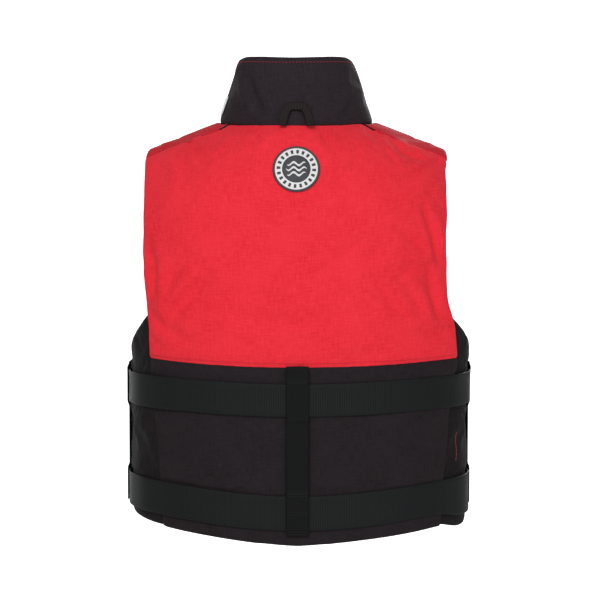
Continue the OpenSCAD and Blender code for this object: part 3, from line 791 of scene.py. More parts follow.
# the rim under the collar takes the lining's black as painted shade in the seam under the collar
painted_shade_under_collar = np.abs(back_face[..., 0]) < NECK_X - 1
painted_shade_under_collar[:, :-1] = False
back_whole = padded_piece(
    "back",
    back_face,
    BODY_PADDING,
    ["crimson_nylon", "black_nylon", "black_taffeta"],
    region_of=lambda i, j: 0 if j >= low_rows else 1,
    rim_of=lambda i, j: 2 if painted_shade_under_collar[i, j] else 0 if j >= low_rows else 1,
)
print(f"  {len(back_whole.data.vertices)} points")

# %% [markdown]
# ## The side panels
# The black side panels close the jacket under the arms. The left one is made first and the right one is its
# mirror image, as for every pair below.


# %% Side panels
MIRROR = np.array([-1.0, 1.0, 1.0])


def mirrored(points):
    """The same grid on the other side of the wearer, still facing outward."""
    return points[::-1] * MIRROR


SEAM_TUCK = 2.6


def side_grid(step, margin):
    """Outer face of the side; its upright edges tuck a little way under its neighbours, so no seam gapes."""
    columns, rows = int(round(205 / step)), int(round(225 / step))
    u = np.linspace(0, 1, columns + 1)[:, None]
    v = np.linspace(0, 1, rows + 1)[None, :]
    shrink = (margin - SEAM_TUCK) / 205
    seam = back_edge(mix(22, ARMHOLE_Z, v)) - 1.2
    angle = mix(-ring_angle(SIDE_FRONT_X), ring_angle(seam), mix(shrink, 1 - shrink, u))
    x = ring(angle, 0)[..., 0]
    dip = np.sin(np.radians(90 * np.clip((x - SIDE_FRONT_X) / (HALF_WIDTH - SIDE_FRONT_X), 0, 1)))
    climb_back = 224 + 37 * (1 - np.clip((x - 179) / (HALF_WIDTH - 179), 0, 1)) ** 0.8
    top = np.where(angle > 0, climb_back, ARMHOLE_Z - 26 * dip) - margin
    return ring(angle, mix(hem_z(x) + margin, top, v))


SIDE_FOLDS = [
    ([(60, 150), (20, 128), (-40, 118)], 9.0, -1.6),
    ([(-70, 96), (-20, 104), (30, 92)], 9.0, 1.4),
    ([(66, 124), (74, 104), (82, 80)], 8.0, -1.2),
    ([(-80, 190), (-50, 206), (-20, 200)], 8.0, 1.2),
]
side = side_grid(STEP, MARGIN)
flat_here = np.maximum(under_belts(side), smooth((34 - np.abs(side[..., 1] + 14)) / 12))
relief = fold_relief(side, SIDE_FOLDS, axes=(1, 2)) + soft_waves(side, 60, 0.5, 8)
side += grid_normals(side) * (relief * (1 - flat_here))[..., None]
held = held_border(side)
held[flat_here > 0.5] = 1.0
print("Side panel:")
side_face = refine(run_cloth(side, held, grow=0.012, pressure=2.5, most=4.0))
for name, grid in (("left", side_face), ("right", mirrored(side_face))):
    # the side panels take the darker black, which is painted shade
    colours = ["black_cross", "black_taffeta"]
    piece = padded_piece(f"{name}_side", grid, SIDE_PADDING, colours, edge=3.5, taper=18)
    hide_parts(f"{name}_side_panel", f"{name}_side_foam", f"{name}_side_lining")
    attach(piece, f"{name}_half")

# %% [markdown]
# ## The fronts
# Each front runs from the zip round to the side seam, and from the hem over the shoulder ridge to the
# shoulder seam behind it. Its rows follow the neckline at the top, so the cloth wraps round the neck as it
# is cut. The rim under the collar takes the lining's black as painted shade in the seam under the collar.


# %% Front panels
def climb(x, q):
    """Distance up the front profile, carried on over the shoulder ridge."""
    z, spring = torso(x, q)[..., 2], front_spring(x)
    over = spring + FRONT_CURVE * math.pi / 2 + BACK_CURVE * np.radians(90 * (2 - q))
    return np.where(q > 3, z, np.where(q > 2, spring + FRONT_CURVE * np.radians(90 * (3 - q)), over))


def climb_to_q(x, s):
    spring = front_spring(x)
    turn = (s - spring) / FRONT_CURVE
    over = (s - spring - FRONT_CURVE * math.pi / 2) / BACK_CURVE
    q = np.where(s < spring, 4 - (s - hem_z(x)) / (spring - hem_z(x)), 3 - np.degrees(turn) / 90)
    return np.where(over > 0, 2 - np.degrees(over) / 90, q)


def by_length(path, count):
    """Spaces points evenly along a path of (x, q)."""
    steps = np.linalg.norm(np.diff(torso(path[:, 0], path[:, 1]), axis=0), axis=1)
    length = np.concatenate([[0], np.cumsum(steps)])
    at = np.linspace(0, length[-1], count)
    return np.stack([np.interp(at, length, path[:, k]) for k in (0, 1)], -1)


FRONT_SEAM_Z = 212.0


def front_grid(step, margin):
    """Outer face of a front; its neckline tucks under the collar, so that the two never gape."""
    under = margin - 3.0
    columns, low, high = int(round(155 / step)), int(round(210 / step)), int(round(330 / step))
    inner_x = 16.0 + margin
    z = np.linspace(FRONT_SEAM_Z, neck_z(inner_x, 50.0) - under, 60)
    straight = np.stack([np.full(60, inner_x), profile_q(inner_x, z, back=False)], -1)
    t = np.radians(np.linspace(math.degrees(math.asin(inner_x / NECK_X)), 89.5, 60))[1:]
    x = NECK_X * np.sin(t)
    round_neck = np.stack([x, front_neck_q(x, under)], -1)
    x = np.linspace(91.9, 79.5, 12)
    behind = np.stack([x + under, np.maximum(SHOULDER_SEAM_Q + 0.02, back_neck_q(x, under))], -1)
    inner = by_length(np.concatenate([straight, round_neck, behind]), high + 1)
    q = np.linspace(float(profile_q(SIDE_FRONT_X, FRONT_SEAM_Z, back=False)), SHOULDER_SEAM_Q + 0.02, 90)
    edge = front_edge(torso(SIDE_FRONT_X, q)[..., 2]) - margin
    outer = by_length(np.stack([edge, q], -1), high + 1)
    u = np.linspace(0, 1, columns + 1)[:, None]
    x = mix(inner[None, :, 0], outer[None, :, 0], u)
    s = mix(climb(inner[:, 0], inner[:, 1])[None], climb(outer[:, 0], outer[:, 1])[None], u)
    upper = torso(x, climb_to_q(x, s))
    v = np.linspace(0, 1, low + 1)[None, :-1]
    edge = front_edge(0.0) - margin
    x_low = mix(inner_x, edge, u) + 0 * v
    lower = torso(x_low, profile_q(x_low, mix(hem_z(x_low) + margin, FRONT_SEAM_Z, v), back=False))
    return np.concatenate([lower, upper], axis=1), low


FRONT_FOLDS = [
    ([(150, 262), (128, 290), (112, 330)], 8.0, 2.0),
    ([(160, 300), (146, 330), (140, 372)], 7.0, -2.2),
    ([(60, 236), (84, 250), (118, 246)], 7.0, 1.4),
    ([(36, 420), (58, 405), (84, 404)], 6.0, -1.5),
    ([(24, 130), (44, 118), (70, 120)], 7.0, 1.2),
    ([(120, 440), (134, 420), (140, 396)], 6.0, 1.6),
]
front, low_rows = front_grid(STEP, MARGIN)
x, z = front[..., 0], front[..., 2]
under_tab = (np.abs(x - 96) < 18) & (z > 282) & (z < 350)
behind_flap = (np.abs(x - 104) < 58) & (z > 100) & (z < 150)
flat_here = np.maximum(under_belts(front), under_tab | behind_flap)
relief = fold_relief(front, FRONT_FOLDS) + soft_waves(front, 70, 0.6, 21)
front += grid_normals(front) * (relief * (1 - flat_here))[..., None]
held = held_border(front)
held[:, low_rows] = 1.0
held[flat_here > 0.5] = 1.0
print("Front panel:")
low_rows *= 2
front_face = press_seam(refine(run_cloth(front, held, grow=0.014, pressure=2.5, most=5.0)), low_rows)
for name, grid in (("left", front_face), ("right", mirrored(front_face))):
    # the rim under the collar takes the lining's black as painted shade in the seam under the collar
    painted_shade_under_collar = (np.abs(grid[..., 0]) < NECK_X + 1) & (grid[..., 2] > NECK_Z - 53)
    # the fronts take the darker crimson, which is painted shade
    piece = padded_piece(
        f"{name}_front",
        grid,
        BODY_PADDING,
        ["crimson_cross", "black_nylon", "black_taffeta"],
        region_of=lambda i, j: 0 if j >= low_rows else 1,
        rim_of=lambda i, j: 2 if painted_shade_under_collar[i, j] else 0 if j >= low_rows else 1,
    )
    nodes = ("front_yoke", "front_panel", "front_foam", "front_lining")
    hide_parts(*[f"{name}_{n}" for n in nodes])
    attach(piece, f"{name}_half")

# %% [markdown]
# ## The collar
# A padded stand-up collar in black nylon. A line of crimson topstitching runs just below its rounded top
# edge, and is sewn further down, once the stitches are defined.

# %% Collar
COLLAR_FOLDS = [
    ([(58, 548), (52, 524), (40, 496)], 5.0, -2.6),
    ([(64, 538), (60, 516), (52, 496)], 5.5, 1.4),
    ([(-70, 520), (-64, 504), (-58, 490)], 4.5, -0.9),
    ([(-56, 548), (-60, 530), (-62, 514)], 7.0, 0.9),
    ([(20, 516), (32, 500), (38, 486)], 6.0, 1.0),
]
collar_step = STEP * 0.8
columns = 2 * int(round(250 / collar_step))
rows = int(round(86 / collar_step))
angle = np.linspace(-90 + 13.5, 270 - 13.5, columns + 1)[:, None]
v = np.linspace(0.035, 0.955, rows + 1)[None, :]
face = collar(angle, v)
behind = face[..., 1] > 0
face += grid_normals(face) * (
    np.where(behind, fold_relief(face, COLLAR_FOLDS), 0) + soft_waves(face, 55, 0.35, 5)
)[..., None]
held = held_border(face)
held[:, -2] = 0.8
print("Collar:")
collar_face = refine(run_cloth(face, held, grow=0.004, pressure=0.6, most=2.0))
groove_at = arc_lengths(collar_face)[1]
groove = np.exp(-(((groove_at[:, -1:] - groove_at - 3.0) / 1.2) ** 2))
collar_face -= grid_normals(collar_face) * (groove * 0.5)[..., None]
# the collar takes the lighter black, which is painted light
colours = ["collar_nylon", "black_taffeta"]
collar_whole = padded_piece("collar", collar_face, COLLAR_PADDING, colours, edge=4.0, taper=14)
print(f"  {len(collar_whole.data.vertices)} points")

# %% [markdown]
# ## Webbing
# A strap is a thin closed strip swept along a path. Its cloth coordinates run along and across it, which is
# how the ribs of the weave know their direction.


# %% Straps
BELT_WIDTH, WEBBING = 38.0, 1.8


def unit(a):
    return a / np.maximum(np.linalg.norm(a, axis=-1, keepdims=True), 1e-9)


def strap(name, centres, normals, width, thickness, colour, lift=0.0, across=9, sag=0.0):
    """Webbing along centres, its inner face lift millimetres above them; sag bows its middle inward."""
    normals = unit(np.asarray(normals, float))
    centres = np.asarray(centres, float) + normals * (lift + thickness)
    along = unit(np.gradient(centres, axis=0))
    side = unit(np.cross(normals, along))
    place = np.linspace(-0.5, 0.5, across)
    bow = sag * (1 - (2 * place) ** 2)
    edge = thickness * 0.48
    points = centres[:, None] + side[:, None] * (place * (width - 2 * edge))[None, :, None]
    points = points - normals[:, None] * bow[None, :, None]
    points, faces, uvs, _, _ = close_panel(points, thickness, edge=edge, steps=4, taper=0.1)
    obj = new_mesh(name, points, faces, uvs)
    add_materials(obj, [colour])
    return obj


def belt(name, z, follow, seed):
    start = -float(ring_angle(30.0))
    angle = np.linspace(start, 180 - start, 401)
    flat = ring(angle, z)
    flat[:, 2] += belt_rise(flat[:, 0], follow)
    step = 0.05
    normals = unit(np.cross(ring(angle + step, z) - ring(angle - step, z), [0.0, 0.0, 1.0]))
    rng = np.random.default_rng(seed)
    ripple = sum(np.sin(np.radians(angle * k + rng.uniform(0, 360))) for k in (7, 11, 17)) * 0.22
    centres = flat + normals * ripple[:, None]
    return strap(name, centres, normals, BELT_WIDTH, WEBBING, "black_webbing", lift=0.8, sag=0.35)


belts = {}
for seed, (name, z, follow) in enumerate(BELTS, 1):
    for piece in split_up(name, belt(name, z, follow, seed), round_the_front=True):
        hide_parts(name)
        belts[piece.name] = piece

z = np.linspace(10, 203, 80)
x = np.zeros(80)
spine = torso(x, profile_q(x, z))
over_belt = np.minimum(np.abs(z - UPPER_BELT_Z), np.abs(z - LOWER_BELT_Z)) < 24
spine[:, 1] += 0.8 * over_belt
normals = np.tile([0.0, 1.0, 0.0], (80, 1))
keeper = strap("back_keeper", spine, normals, 26.6, WEBBING, "keeper_webbing", lift=2.7)
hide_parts("back_keeper_strap")
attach(keeper, "back")
for side_name, sign in (("left", 1), ("right", -1)):
    z = np.linspace(31, 198, 90)
    centre = ring(-4.0, z)
    outward = unit(np.cross(ring(-3.0, z) - ring(-5.0, z), [0.0, 0.0, 1.0]))
    from_belt = np.minimum(np.abs(z - UPPER_BELT_Z - 6.6), np.abs(z - LOWER_BELT_Z - 14.7))
    lift = 0.4 + 2.2 * smooth((27 - from_belt) / 7)
    flip = np.array([sign, 1, 1])
    centre = centre + outward * lift[:, None]
    shape = (centre * flip, outward * flip, BELT_WIDTH, WEBBING)
    piece = strap(f"{side_name}_keeper", *shape, "keeper_webbing", sag=0.6)
    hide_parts(f"{side_name}_side_keeper")
    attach(piece, f"{side_name}_half")
print("Webbing:", ", ".join(belts), "and three keepers")

# %% [markdown]
# ## Stitching
# Stitches are short rounded threads laid along a path on the cloth, with a gap between each two.


# %% Stitches
def stitches(name, path, normals, colour, length=2.4, gap=1.3, radius=0.32, lift=0.25):
    """One mesh of stitches along a path of points in millimetres."""
    path, normals = np.asarray(path, float), unit(np.asarray(normals, float))
    steps = np.linalg.norm(np.diff(path, axis=0), axis=1)
    run = np.concatenate([[0], np.cumsum(steps)])
    starts = np.arange(0.5, run[-1] - length, length + gap)

    def at(values, where):
        return np.stack([np.interp(where, run, values[:, k]) for k in range(3)], -1)

    points, faces = [], []
    shares, sizes = (0.0, 0.12, 0.5, 0.88, 1.0), (0.25, 0.85, 1.0, 0.85, 0.25)
    for start in starts:
        where = start + length * np.array(shares)
        centre, up = at(path, where), unit(at(normals, where))
        forward = unit(centre[-1] - centre[0])
        sideways = unit(np.cross(up, forward))
        first = len(points)
        for k, size in enumerate(sizes):
            for turn in range(6):
                a = turn * math.pi / 3
                offset = sideways[k] * math.cos(a) + up[k] * math.sin(a)
                points.append(centre[k] + up[k] * (lift * (0.4 + 0.6 * size)) + offset * radius * size)
        for k in range(4):
            for turn in range(6):
                a, b = first + 6 * k + turn, first + 6 * k + (turn + 1) % 6
                faces.append([a, b, b + 6, a + 6])
        faces.append([first + t for t in range(5, -1, -1)])
        faces.append([first + 24 + t for t in range(6)])
    obj = new_mesh(name, points, faces)
    add_materials(obj, [colour])
    return obj


def along_grid(face, row=None, column=None):
    """Points and normals along a row or column of a finished grid, at fractional places."""
    normals = grid_normals(face)
    if row is not None:
        low, share = int(row), row - int(row)
        return tuple(mix(g[:, low], g[:, min(low + 1, g.shape[1] - 1)], share) for g in (face, normals))
    low, share = int(column), column - int(column)
    return tuple(mix(g[low], g[min(low + 1, len(g) - 1)], share) for g in (face, normals))


def halves(values):
    """A line across the back, cut at the spine into its left and right parts."""
    middle = int(np.argmin(np.abs(values[0][:, 0])))
    return {
        "left": tuple(v[: middle + 1] for v in values),
        "right": tuple(v[middle:] for v in values),
    }


grid_step = STEP * 0.8 / 2
line = along_grid(collar_face, row=collar_face.shape[1] - 1 - 3.0 / grid_step)
for side_name, (path, up) in halves(line).items():
    in_front = path[:, 1] < 0
    for place, chosen in (("", ~in_front), ("_front", in_front)):
        name = f"{side_name}_collar_stitches{place}"
        piece = stitches(name, path[chosen], up[chosen], "red_thread", length=2.6, gap=1.5, radius=0.36)
        swing_with(piece, side_name, place == "_front")
back_low = int(round(LOWER_BACK / STEP)) * 2
for offset, label in ((3.4, "above"), (-3.0, "below")):
    line = along_grid(back_face, row=back_low + offset / (STEP / 2))
    for side_name, (path, up) in halves(line).items():
        colour = "red_thread" if offset > 0 else "black_thread"
        name = f"{side_name}_waist_stitches_{label}"
        piece = stitches(name, path, up, colour, length=2.0, gap=1.0, radius=0.22)
        swing_with(piece, side_name)
for piece in split_up("back", back_whole):
    side_name = piece.name.split("_")[0]
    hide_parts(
        "back_yoke", "back_lower_panel", "back_lining", "back_foam_centre", f"{side_name}_back_foam"
    )
for piece in split_up("collar", collar_whole, round_the_front=True):
    side_name = piece.name.split("_")[0]
    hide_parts("collar_shell", "collar_lining", "collar_foam_centre", f"{side_name}_collar_foam")
for z0 in (12.0, 33.0, 54.0, 142.0, 186.0, 198.0):
    for shift in (0.0, 2.2):
        xs = np.linspace(-11.2, 11.2, 12)
        q = profile_q(xs, z0 + shift)
        path = torso(xs, q) + np.array([0, 5.3, 0])
        name = f"keeper_stitches_{int(z0)}_{int(shift)}"
        up = np.tile([0.0, 1.0, 0.0], (12, 1))
        piece = stitches(name, path, up, "black_thread", length=1.7, gap=0.7, radius=0.28)
        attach(piece, "back")
column = int(np.argmin(np.abs(side_face[:, 40, 0] - 187) + 999 * (side_face[:, 40, 1] < 0)))
chosen = (side_face[column, :, 2] > 84) & (side_face[column, :, 2] < 122)
path, up = side_face[column, chosen], grid_normals(side_face)[column, chosen]
tack = dict(length=4.5, gap=0.4, radius=0.42)
piece = stitches("right_side_bar_tack", path * MIRROR, up * MIRROR, "red_thread", **tack)
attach(piece, "right_half")
print("Stitched the collar, the waist seam, the keeper and the side")

# %% [markdown]
# ## Badge and hang loop
# The badge is soft moulded rubber: a grey rim, a white ring with a plain dashed pattern and a grey middle
# with three waves. The hang loop is narrow grosgrain tape, sewn down at both feet.

# %% Badge
BADGE_Z = 430.0
centre = torso(0.0, profile_q(0.0, BADGE_Z))
along_up = unit(torso(0.0, profile_q(0.0, BADGE_Z + 1)) - torso(0.0, profile_q(0.0, BADGE_Z - 1)))
out_dir = np.cross([-1.0, 0.0, 0.0], along_up)


def on_badge(r, angle, height):
    """A point on the curved badge: r and angle in its plane, height above the cloth."""
    dx, dz = r * np.cos(angle), r * np.sin(angle)
    guess = centre[2] + dz * along_up[2]
    base = torso(dx, profile_q(dx, guess))
    return base + out_dir * height


def ring_band(name, rings, colour, count=96):
    """A band made of (radius, height) rings round the badge's centre."""
    angles = np.linspace(0, 2 * math.pi, count, endpoint=False)
    points = np.concatenate([[on_badge(r, a, h) for a in angles] for r, h in rings])
    faces = []
    for k in range(len(rings) - 1):
        for m in range(count):
            n = (m + 1) % count
            faces.append([k * count + m, (k + 1) * count + m, (k + 1) * count + n, k * count + n])
    if rings[-1][0] < 1:
        faces.append([(len(rings) - 1) * count + m for m in range(count)])
    obj = new_mesh(name, points, faces)
    add_materials(obj, [colour])
    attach(obj, "back")
    return obj


rings = [(26.9, -0.6), (27.4, 1.2), (27.1, 2.3), (26.4, 2.8), (25.3, 2.8), (24.8, 2.4), (24.6, 1.9)]
badge = ring_band("badge_rim", rings, "badge_grey")
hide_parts("badge")
ring_band("badge_ring", [(24.9, 2.1), (22.0, 2.15), (19.0, 2.15), (16.6, 2.15), (16.2, 2.1)], "badge_white")
rings = [(16.5, 1.9), (16.3, 2.5), (15.5, 2.7), (10.0, 2.7), (5.0, 2.7), (0.3, 2.7)]
ring_band("badge_middle", rings, "badge_grey")
DASHES, DASH_SHARE = 20, 0.44
points, faces = [], []
for k in range(DASHES):
    start = 2 * math.pi * k / DASHES
    first = len(points)
    for share in np.linspace(0, DASH_SHARE, 5):
        a = start + share * 2 * math.pi / DASHES
        for r, h in ((18.3, 2.1), (18.5, 2.7), (22.5, 2.7), (22.7, 2.1)):
            points.append(on_badge(r, a, h))
    for m in range(4):
        for n in range(3):
            a = first + 4 * m + n
            faces.append([a, a + 1, a + 5, a + 4])
    faces.append([first, first + 3, first + 2, first + 1])
    faces.append([first + 16, first + 17, first + 18, first + 19])
piece = new_mesh("badge_dashes", points, faces)
add_materials(piece, ["badge_grey"])
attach(piece, "back")
points, faces = [], []
for level, reach in ((-6.0, 10.5), (0.0, 12.0), (6.0, 10.5)):
    first = len(points)
    xs = np.linspace(-reach, reach, 40)
    for px in xs:
        wave = level + 1.9 * math.sin(px * 0.52)
        half = 1.5 * math.sqrt(max(0.03, 1 - (px / (reach + 0.3)) ** 2))
        for dz, h in ((-half, 2.5), (-half * 0.7, 3.2), (half * 0.7, 3.2), (half, 2.5)):
            r, a = math.hypot(px, wave + dz), math.atan2(wave + dz, px)
            points.append(on_badge(r, a, h))
    for m in range(39):
        for n in range(3):
            a = first + 4 * m + n
            faces.append([a, a + 1, a + 5, a + 4])
piece = new_mesh("badge_waves", points, faces)
add_materials(piece, ["badge_white"])
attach(piece, "back")

# %% Hang loop
foot = collar(90.0, 0.03)
up_dir = unit(collar(90.0, 0.6) - collar(90.0, 0.05))
out_loop = np.cross([-1.0, 0.0, 0.0], up_dir)
arch = []
for t in np.linspace(0, 1, 61):
    a = math.pi * t
    reach_z = 22.5 * math.sin(a) ** 0.55
    reach_x = -(16.4 - 0.2 * reach_z) * math.copysign(abs(math.cos(a)) ** 0.4, math.cos(a))
    sideways, out = np.array([1.0, 0, 0]) * reach_x, out_loop * (0.6 + 2.0 * math.sin(a))
    arch.append(foot + sideways + up_dir * (reach_z - 1.5) + out)
arch = np.array(arch)
flat_out = np.tile(out_loop, (61, 1))
loop_piece = strap("hang_loop_tape", arch, flat_out, 9.6, 1.8, "black_grosgrain", lift=0.3, across=7)
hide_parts("hang_loop")
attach(loop_piece, "back")
for sign in (-1, 1):
    for row_z in (1.2, 3.0, 4.8):
        xs = np.linspace(sign * 15.2 - 3.6, sign * 15.2 + 3.6, 8)
        path = foot + np.outer(xs, [1.0, 0, 0]) + up_dir * row_z + out_loop * 2.9
        name = f"loop_stitches_{'left' if sign > 0 else 'right'}_{int(row_z)}"
        piece = stitches(name, path, flat_out[:8], "black_thread", length=1.4, gap=0.5, radius=0.24)
        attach(piece, "back")
print("Badge and hang loop made")

# %% [markdown]
# ## Zip, pockets and chest ring
# The front of the jacket carries a heavy separating zip, two cargo pockets with flaps, side-release buckles
# and a ring on a webbing tab.

# %% Zip tapes
ZIP_TILT = math.atan(FRONT_LEAN)
ZIP_BOTTOM, ZIP_TOP = 14.0, 500.0
THIN = {"steps": 3, "taper": 0.1}


def turned(a, b, angle):
    """Two coordinates turned by an angle in their plane."""
    c, s = math.cos(angle), math.sin(angle)
    return a * c - b * s, a * s + b * c


def on_zip(height, x, y, along=0.0):
    """A point given across, in front of (-y) and along the zip from a height on it."""
    y, z = turned(y, along, -ZIP_TILT)
    return np.array([x, -front_y(height) + 8.0 + y, height + z])


zip_length = (ZIP_TOP - ZIP_BOTTOM) / math.cos(ZIP_TILT)
for side_name, sign in (("left", 1), ("right", -1)):
    rows = np.linspace(0, zip_length, 120)
    xs = np.array([2.9, 4.2, 8.0, 12.0, 16.0, 20.4]) * sign
    order = xs if sign > 0 else xs[::-1]
    face = np.array([[on_zip(ZIP_BOTTOM, x, -0.5, r) for r in rows] for x in order])
    piece = padded_piece(f"{side_name}_zip_tape_cloth", face, 1.0, ["zip_tape"], edge=0.48, **THIN)
    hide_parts(f"{side_name}_zip_tape")
    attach(piece, f"{side_name}_half")

# %% Pockets
POCKET_X, POCKET_Z, POCKET_TURN, POCKET_LIFT = 101.0, 22.0, math.radians(17), 4.5
POCKET = (96.0, 20.0, 112.0)


def on_pocket(x, y, z):
    """Pocket coordinates (across, out is -y, up) to the jacket's, for the wearer's left."""
    x, y, z = np.broadcast_arrays(*(np.asarray(k, float) for k in (x, y, z)))
    y, z = turned(y, z, -ZIP_TILT)
    x, y = turned(x, y, POCKET_TURN)
    base = np.array([POCKET_X, -float(front_y(POCKET_Z)) * float(belly(POCKET_X)) - POCKET_LIFT, POCKET_Z])
    return np.stack([x, y, z], -1) + base


def pocket_face(columns=48, rows=56):
    """Outer face of the bellows pocket: its front bulges and its sides turn back to the panel."""
    u, v = np.linspace(-1, 1, columns + 1)[:, None], np.linspace(-1, 1, rows + 1)[None, :]
    w, d, h = POCKET
    x = np.sign(u) * np.minimum(np.abs(u) * 1.28, 1) * (w / 2 - 1.5) + 0 * v
    over_x = np.clip((np.abs(u) - 0.78) / 0.22, 0, 1) + 0 * v
    over_z = np.clip((-v - 0.82) / 0.18, 0, 1) + 0 * u
    z = np.where(v < 0, np.maximum(v * 1.2, -1), v) * (h / 2 - 1.5) + h / 2 + 0 * u
    back = np.maximum(over_x, over_z)
    bulge = 2.6 * np.cos(x / w * math.pi) * np.sin(np.clip(z / h, 0, 1) * math.pi)
    y = -d + 2.0 - bulge + 1.2 * np.sin(z / 17.0) * np.cos(x / 26.0)
    y = mix(y, 3.0 + 5.5 * (x / (w / 2)) ** 2, smooth(back) * 0.98)
    return on_pocket(x, y, z)


pocket_grid = refine(pocket_face())
flap_rows = 30


def flap_face(columns=44):
    """Outer face of the flap: over the mouth, round its front edge and down."""
    w, d, h = POCKET
    u, v = np.linspace(-1, 1, columns + 1)[:, None], np.linspace(0, 1, flap_rows + 1)[None, :]
    over = [(-1.5, 117.2), (-6, 117.6), (-14, 117.4), (-20, 116.0), (-23.6, 112.5), (-24.6, 107.0)]
    path = np.array(over + [(-24.4, 98.0), (-24.0, 88.0), (-23.6, 74.5)])
    run = np.concatenate([[0], np.cumsum(np.linalg.norm(np.diff(path, axis=0), axis=1))])
    at = (1 - v) * run[-1]
    y, z = np.interp(at, run, path[:, 0]), np.interp(at, run, path[:, 1])
    z = z - 2.0 * np.cos(u * math.pi * 0.5) * smooth((at - 40) / 20)
    y = y + 0 * u - 0.8 * np.cos(u * 2.2)
    return on_pocket(u * (w / 2 + 1.0) + 0 * v, y, z)


flap_grid = refine(flap_face())
for side_name in ("left", "right"):
    grid = pocket_grid if side_name == "left" else mirrored(pocket_grid)
    colours = ["black_nylon", "black_taffeta"]
    piece = padded_piece(f"{side_name}_pocket_bag", grid, 1.6, colours, edge=0.8, **THIN)
    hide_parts(f"{side_name}_pocket")
    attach(piece, f"{side_name}_half")
    grid = flap_grid if side_name == "left" else mirrored(flap_grid)
    piece = padded_piece(f"{side_name}_flap", grid, 3.0, colours, edge=1.4, steps=4, taper=3)
    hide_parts(f"{side_name}_pocket_flap")
    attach(piece, f"{side_name}_flap")
print("Zip tapes and pockets made")

# %% Reflective tape and chest tab
def lay_on(face, points, lift):
    """The points of a grid moved onto a finished cloth face, lift above it."""
    nu, nv = face.shape[:2]
    tree = BVHTree.FromPolygons([Vector(p) for p in face.reshape(-1, 3)], grid_faces(nu, nv))
    out = np.array(points, float)
    for index in np.ndindex(out.shape[:2]):
        spot, normal, _, _ = tree.find_nearest(Vector(out[index]))
        out[index] = np.array(spot) + np.array(normal) * lift
    return out


for side_name, sign in (("left", 1), ("right", -1)):
    u, v = np.linspace(104, 129, 8)[:, None], np.linspace(2.95, 2.12, 50)[None, :]
    face = lay_on(front_face, torso(u + 0 * v, v + 0 * u), 0.9)
    face = face if sign > 0 else mirrored(face)
    piece = padded_piece(f"{side_name}_reflector", face, 0.6, ["reflective_tape"], edge=0.28, **THIN)
    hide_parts(f"{side_name}_reflective_tape")
    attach(piece, f"{side_name}_half")

u, v = np.linspace(-26, 14, 26)[:, None], np.linspace(0.13, 0.42, 9)[None, :]
face = lay_on(collar_face, collar(u, v), 1.7)
piece = padded_piece("left_collar_reflector", face, 0.6, ["reflective_tape"], edge=0.28, **THIN)
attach(piece, "left_half")

TAB_TURN, TAB_TILT = math.radians(-15), math.radians(-7)


def on_chest(x, y, z):
    """A point given across, in front of (-y) and above the foot of the chest tab."""
    y, z = turned(y - 5.5, z, TAB_TILT)
    x, y = turned(x, y, TAB_TURN)
    return np.array([x, y, z]) + torso(-96.0, profile_q(-96.0, 300.0, back=False))


path, outward = [], []
for t in np.linspace(0, 1, 12):
    path.append(on_chest(0, 2.2 - 0.6 * t, 40 - 37 * t))
    outward.append(on_chest(0, 1, 0) - on_chest(0, 0, 0))
for t in np.linspace(0.1, 0.9, 9):
    a = math.pi * t
    path.append(on_chest(0, 2.1 * math.cos(a), -2.1 * math.sin(a)))
    outward.append(on_chest(0, math.cos(a), -math.sin(a)) - on_chest(0, 0, 0))
for t in np.linspace(0, 1, 12):
    path.append(on_chest(0, -2.1 + 1.4 * t, 3 + 37 * t))
    outward.append(on_chest(0, -1, 0) - on_chest(0, 0, 0))
tab = strap("chest_tab", path, outward, 20.0, 1.3, "black_webbing", lift=0.0, across=7)
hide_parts("d_ring_tab")
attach(tab, "right_half")

# %% Webbing round the buckles' bars and stitched flaps
BUCKLE_OUT = 3.7 + 5.5


def on_front(height, x, y, z):
    """A point given across, in front of (-y) and above the middle of a buckle at a height."""
    y, z = turned(y, z, -ZIP_TILT)
    return np.array([x, -float(front_y(height)) - BUCKLE_OUT + y, height + z])


for belt_name, height in (("upper", UPPER_BELT_Z), ("lower", LOWER_BELT_Z)):
    for label, x, side_name in (("socket", -38.5, "right"), ("glide", 22.3, "left"), ("end", 33.3, "left")):
        path, outward = [], []
        for a in np.linspace(-0.22, 1.22, 33) * math.pi:
            reach = 3.35 * math.copysign(abs(math.cos(a)) ** 0.6, math.cos(a))
            height_out = 6.4 * math.copysign(abs(math.sin(a)) ** 0.75, math.sin(a))
            path.append(on_front(height, x + reach, -height_out, 0.0))
            outward.append(on_front(height, math.cos(a), -math.sin(a), 0.0) - on_front(height, 0.0, 0.0, 0.0))
        name, shape = f"{belt_name}_{label}_loop", (path[::-1], outward[::-1], 37.6, 1.7)
        piece = strap(name, *shape, "black_webbing", lift=-0.6)
        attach(piece, f"{side_name}_half")
for side_name in ("left", "right"):
    flap = flap_grid if side_name == "left" else mirrored(flap_grid)
    for row in (3.0, 6.0):
        path, up = along_grid(flap, row=row)
        name = f"{side_name}_flap_stitches_{int(row)}"
        piece = stitches(name, path, up, "black_thread", length=2.2, gap=1.0)
        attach(piece, f"{side_name}_flap")

# %% [markdown]
# ## Hardware
# The zip, the buckles and the chest ring keep their CAD shapes. Each gets its material, and all but the ring
# get softened edges.

# %% Hardware finishes
for name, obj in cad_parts.items():
    if "zip" in name and "tape" not in name or "buckle" in name or name == "d_ring":
        obj.data.materials.clear()
        obj.data.materials.append(material("plated_steel" if name == "d_ring" else "black_acetal"))
        if name != "d_ring":
            soften = obj.modifiers.new("softened edges", "BEVEL")
            soften.width, soften.segments, soften.limit_method = 0.0006, 2, "ANGLE"
            soften.angle_limit = math.radians(40)
            if "teeth" in name or name in ("zip_pull_pin", "zip_slider"):
                soften.width = 0.00025

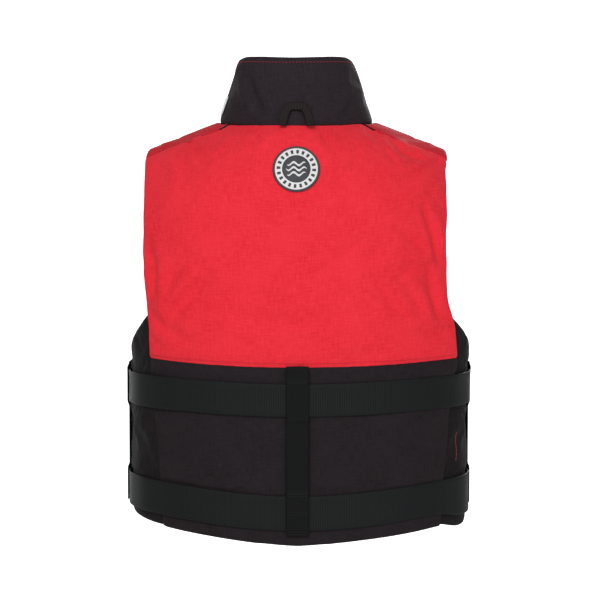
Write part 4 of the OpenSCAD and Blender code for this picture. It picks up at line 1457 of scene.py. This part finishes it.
# %% [markdown]
# ## Studio
# A pale floor lies below the jacket, and a lit white sheet hangs behind it as the camera sees it. A large
# soft light and a weaker one stand behind the wearer, on the camera's side, and such a pair stands in front.

# %% Studio and camera
FLOOR_Z = -1200.0
corners = [(-9000, -9000), (9000, -9000), (9000, 9000), (-9000, 9000)]
floor = new_mesh("studio_floor", [(x, y, FLOOR_Z) for x, y in corners], [[0, 1, 2, 3]])
add_materials(floor, ["studio_paper"])
sheet_rows = [(-4500.0, FLOOR_Z + 3400.0 * k / 12) for k in range(13)]
points = [(x, y, z) for x in (-1900.0, 1900.0) for y, z in sheet_rows]
faces = [[k + 13, k, k + 1, k + 14] for k in range(12)]
backdrop = new_mesh("studio_backdrop", points, faces)
add_materials(backdrop, ["lit_backdrop"])


def soft_light(name, place, target, size, power):
    data = bpy.data.lights.new(name, "AREA")
    data.shape, data.size, data.size_y, data.energy = "RECTANGLE", size[0], size[1], power
    lamp = bpy.data.objects.new(name, data)
    bpy.context.scene.collection.objects.link(lamp)
    lamp.location = place
    lamp.rotation_euler = (Vector(target) - Vector(place)).to_track_quat("-Z", "Y").to_euler()
    return lamp


middle = (0, 0, 0.28)
soft_light("key", (0.4, 2.4, 1.7), middle, (1.1, 1.2), 31)
soft_light("fill", (-1.3, 2.5, 0.5), middle, (1.2, 1.5), 8)
soft_light("front_key", (-0.9, -2.6, 1.15), middle, (1.1, 1.2), 27)
soft_light("front_fill", (1.5, -2.3, 0.4), middle, (1.2, 1.5), 7)
world = bpy.data.worlds.new("studio_world")
bpy.context.scene.world = world
world.use_nodes = True
world.node_tree.nodes["Background"].inputs["Color"].default_value = (1, 1, 1, 1)
world.node_tree.nodes["Background"].inputs["Strength"].default_value = 0.37
bpy.context.scene.view_settings.view_transform = "Standard"

FOCAL_LENGTH = 2222 / 600  # in widths of the picture
camera_data = bpy.data.cameras.new("camera")
camera = bpy.data.objects.new("camera", camera_data)
bpy.context.scene.collection.objects.link(camera)
bpy.context.scene.camera = camera
camera_data.sensor_width = 36.0
camera_data.lens = camera_data.sensor_width * FOCAL_LENGTH
camera.location = (-0.0029, 2.69, 0.42)
camera.rotation_euler = (math.radians(90 - 3.14), 0, math.pi)
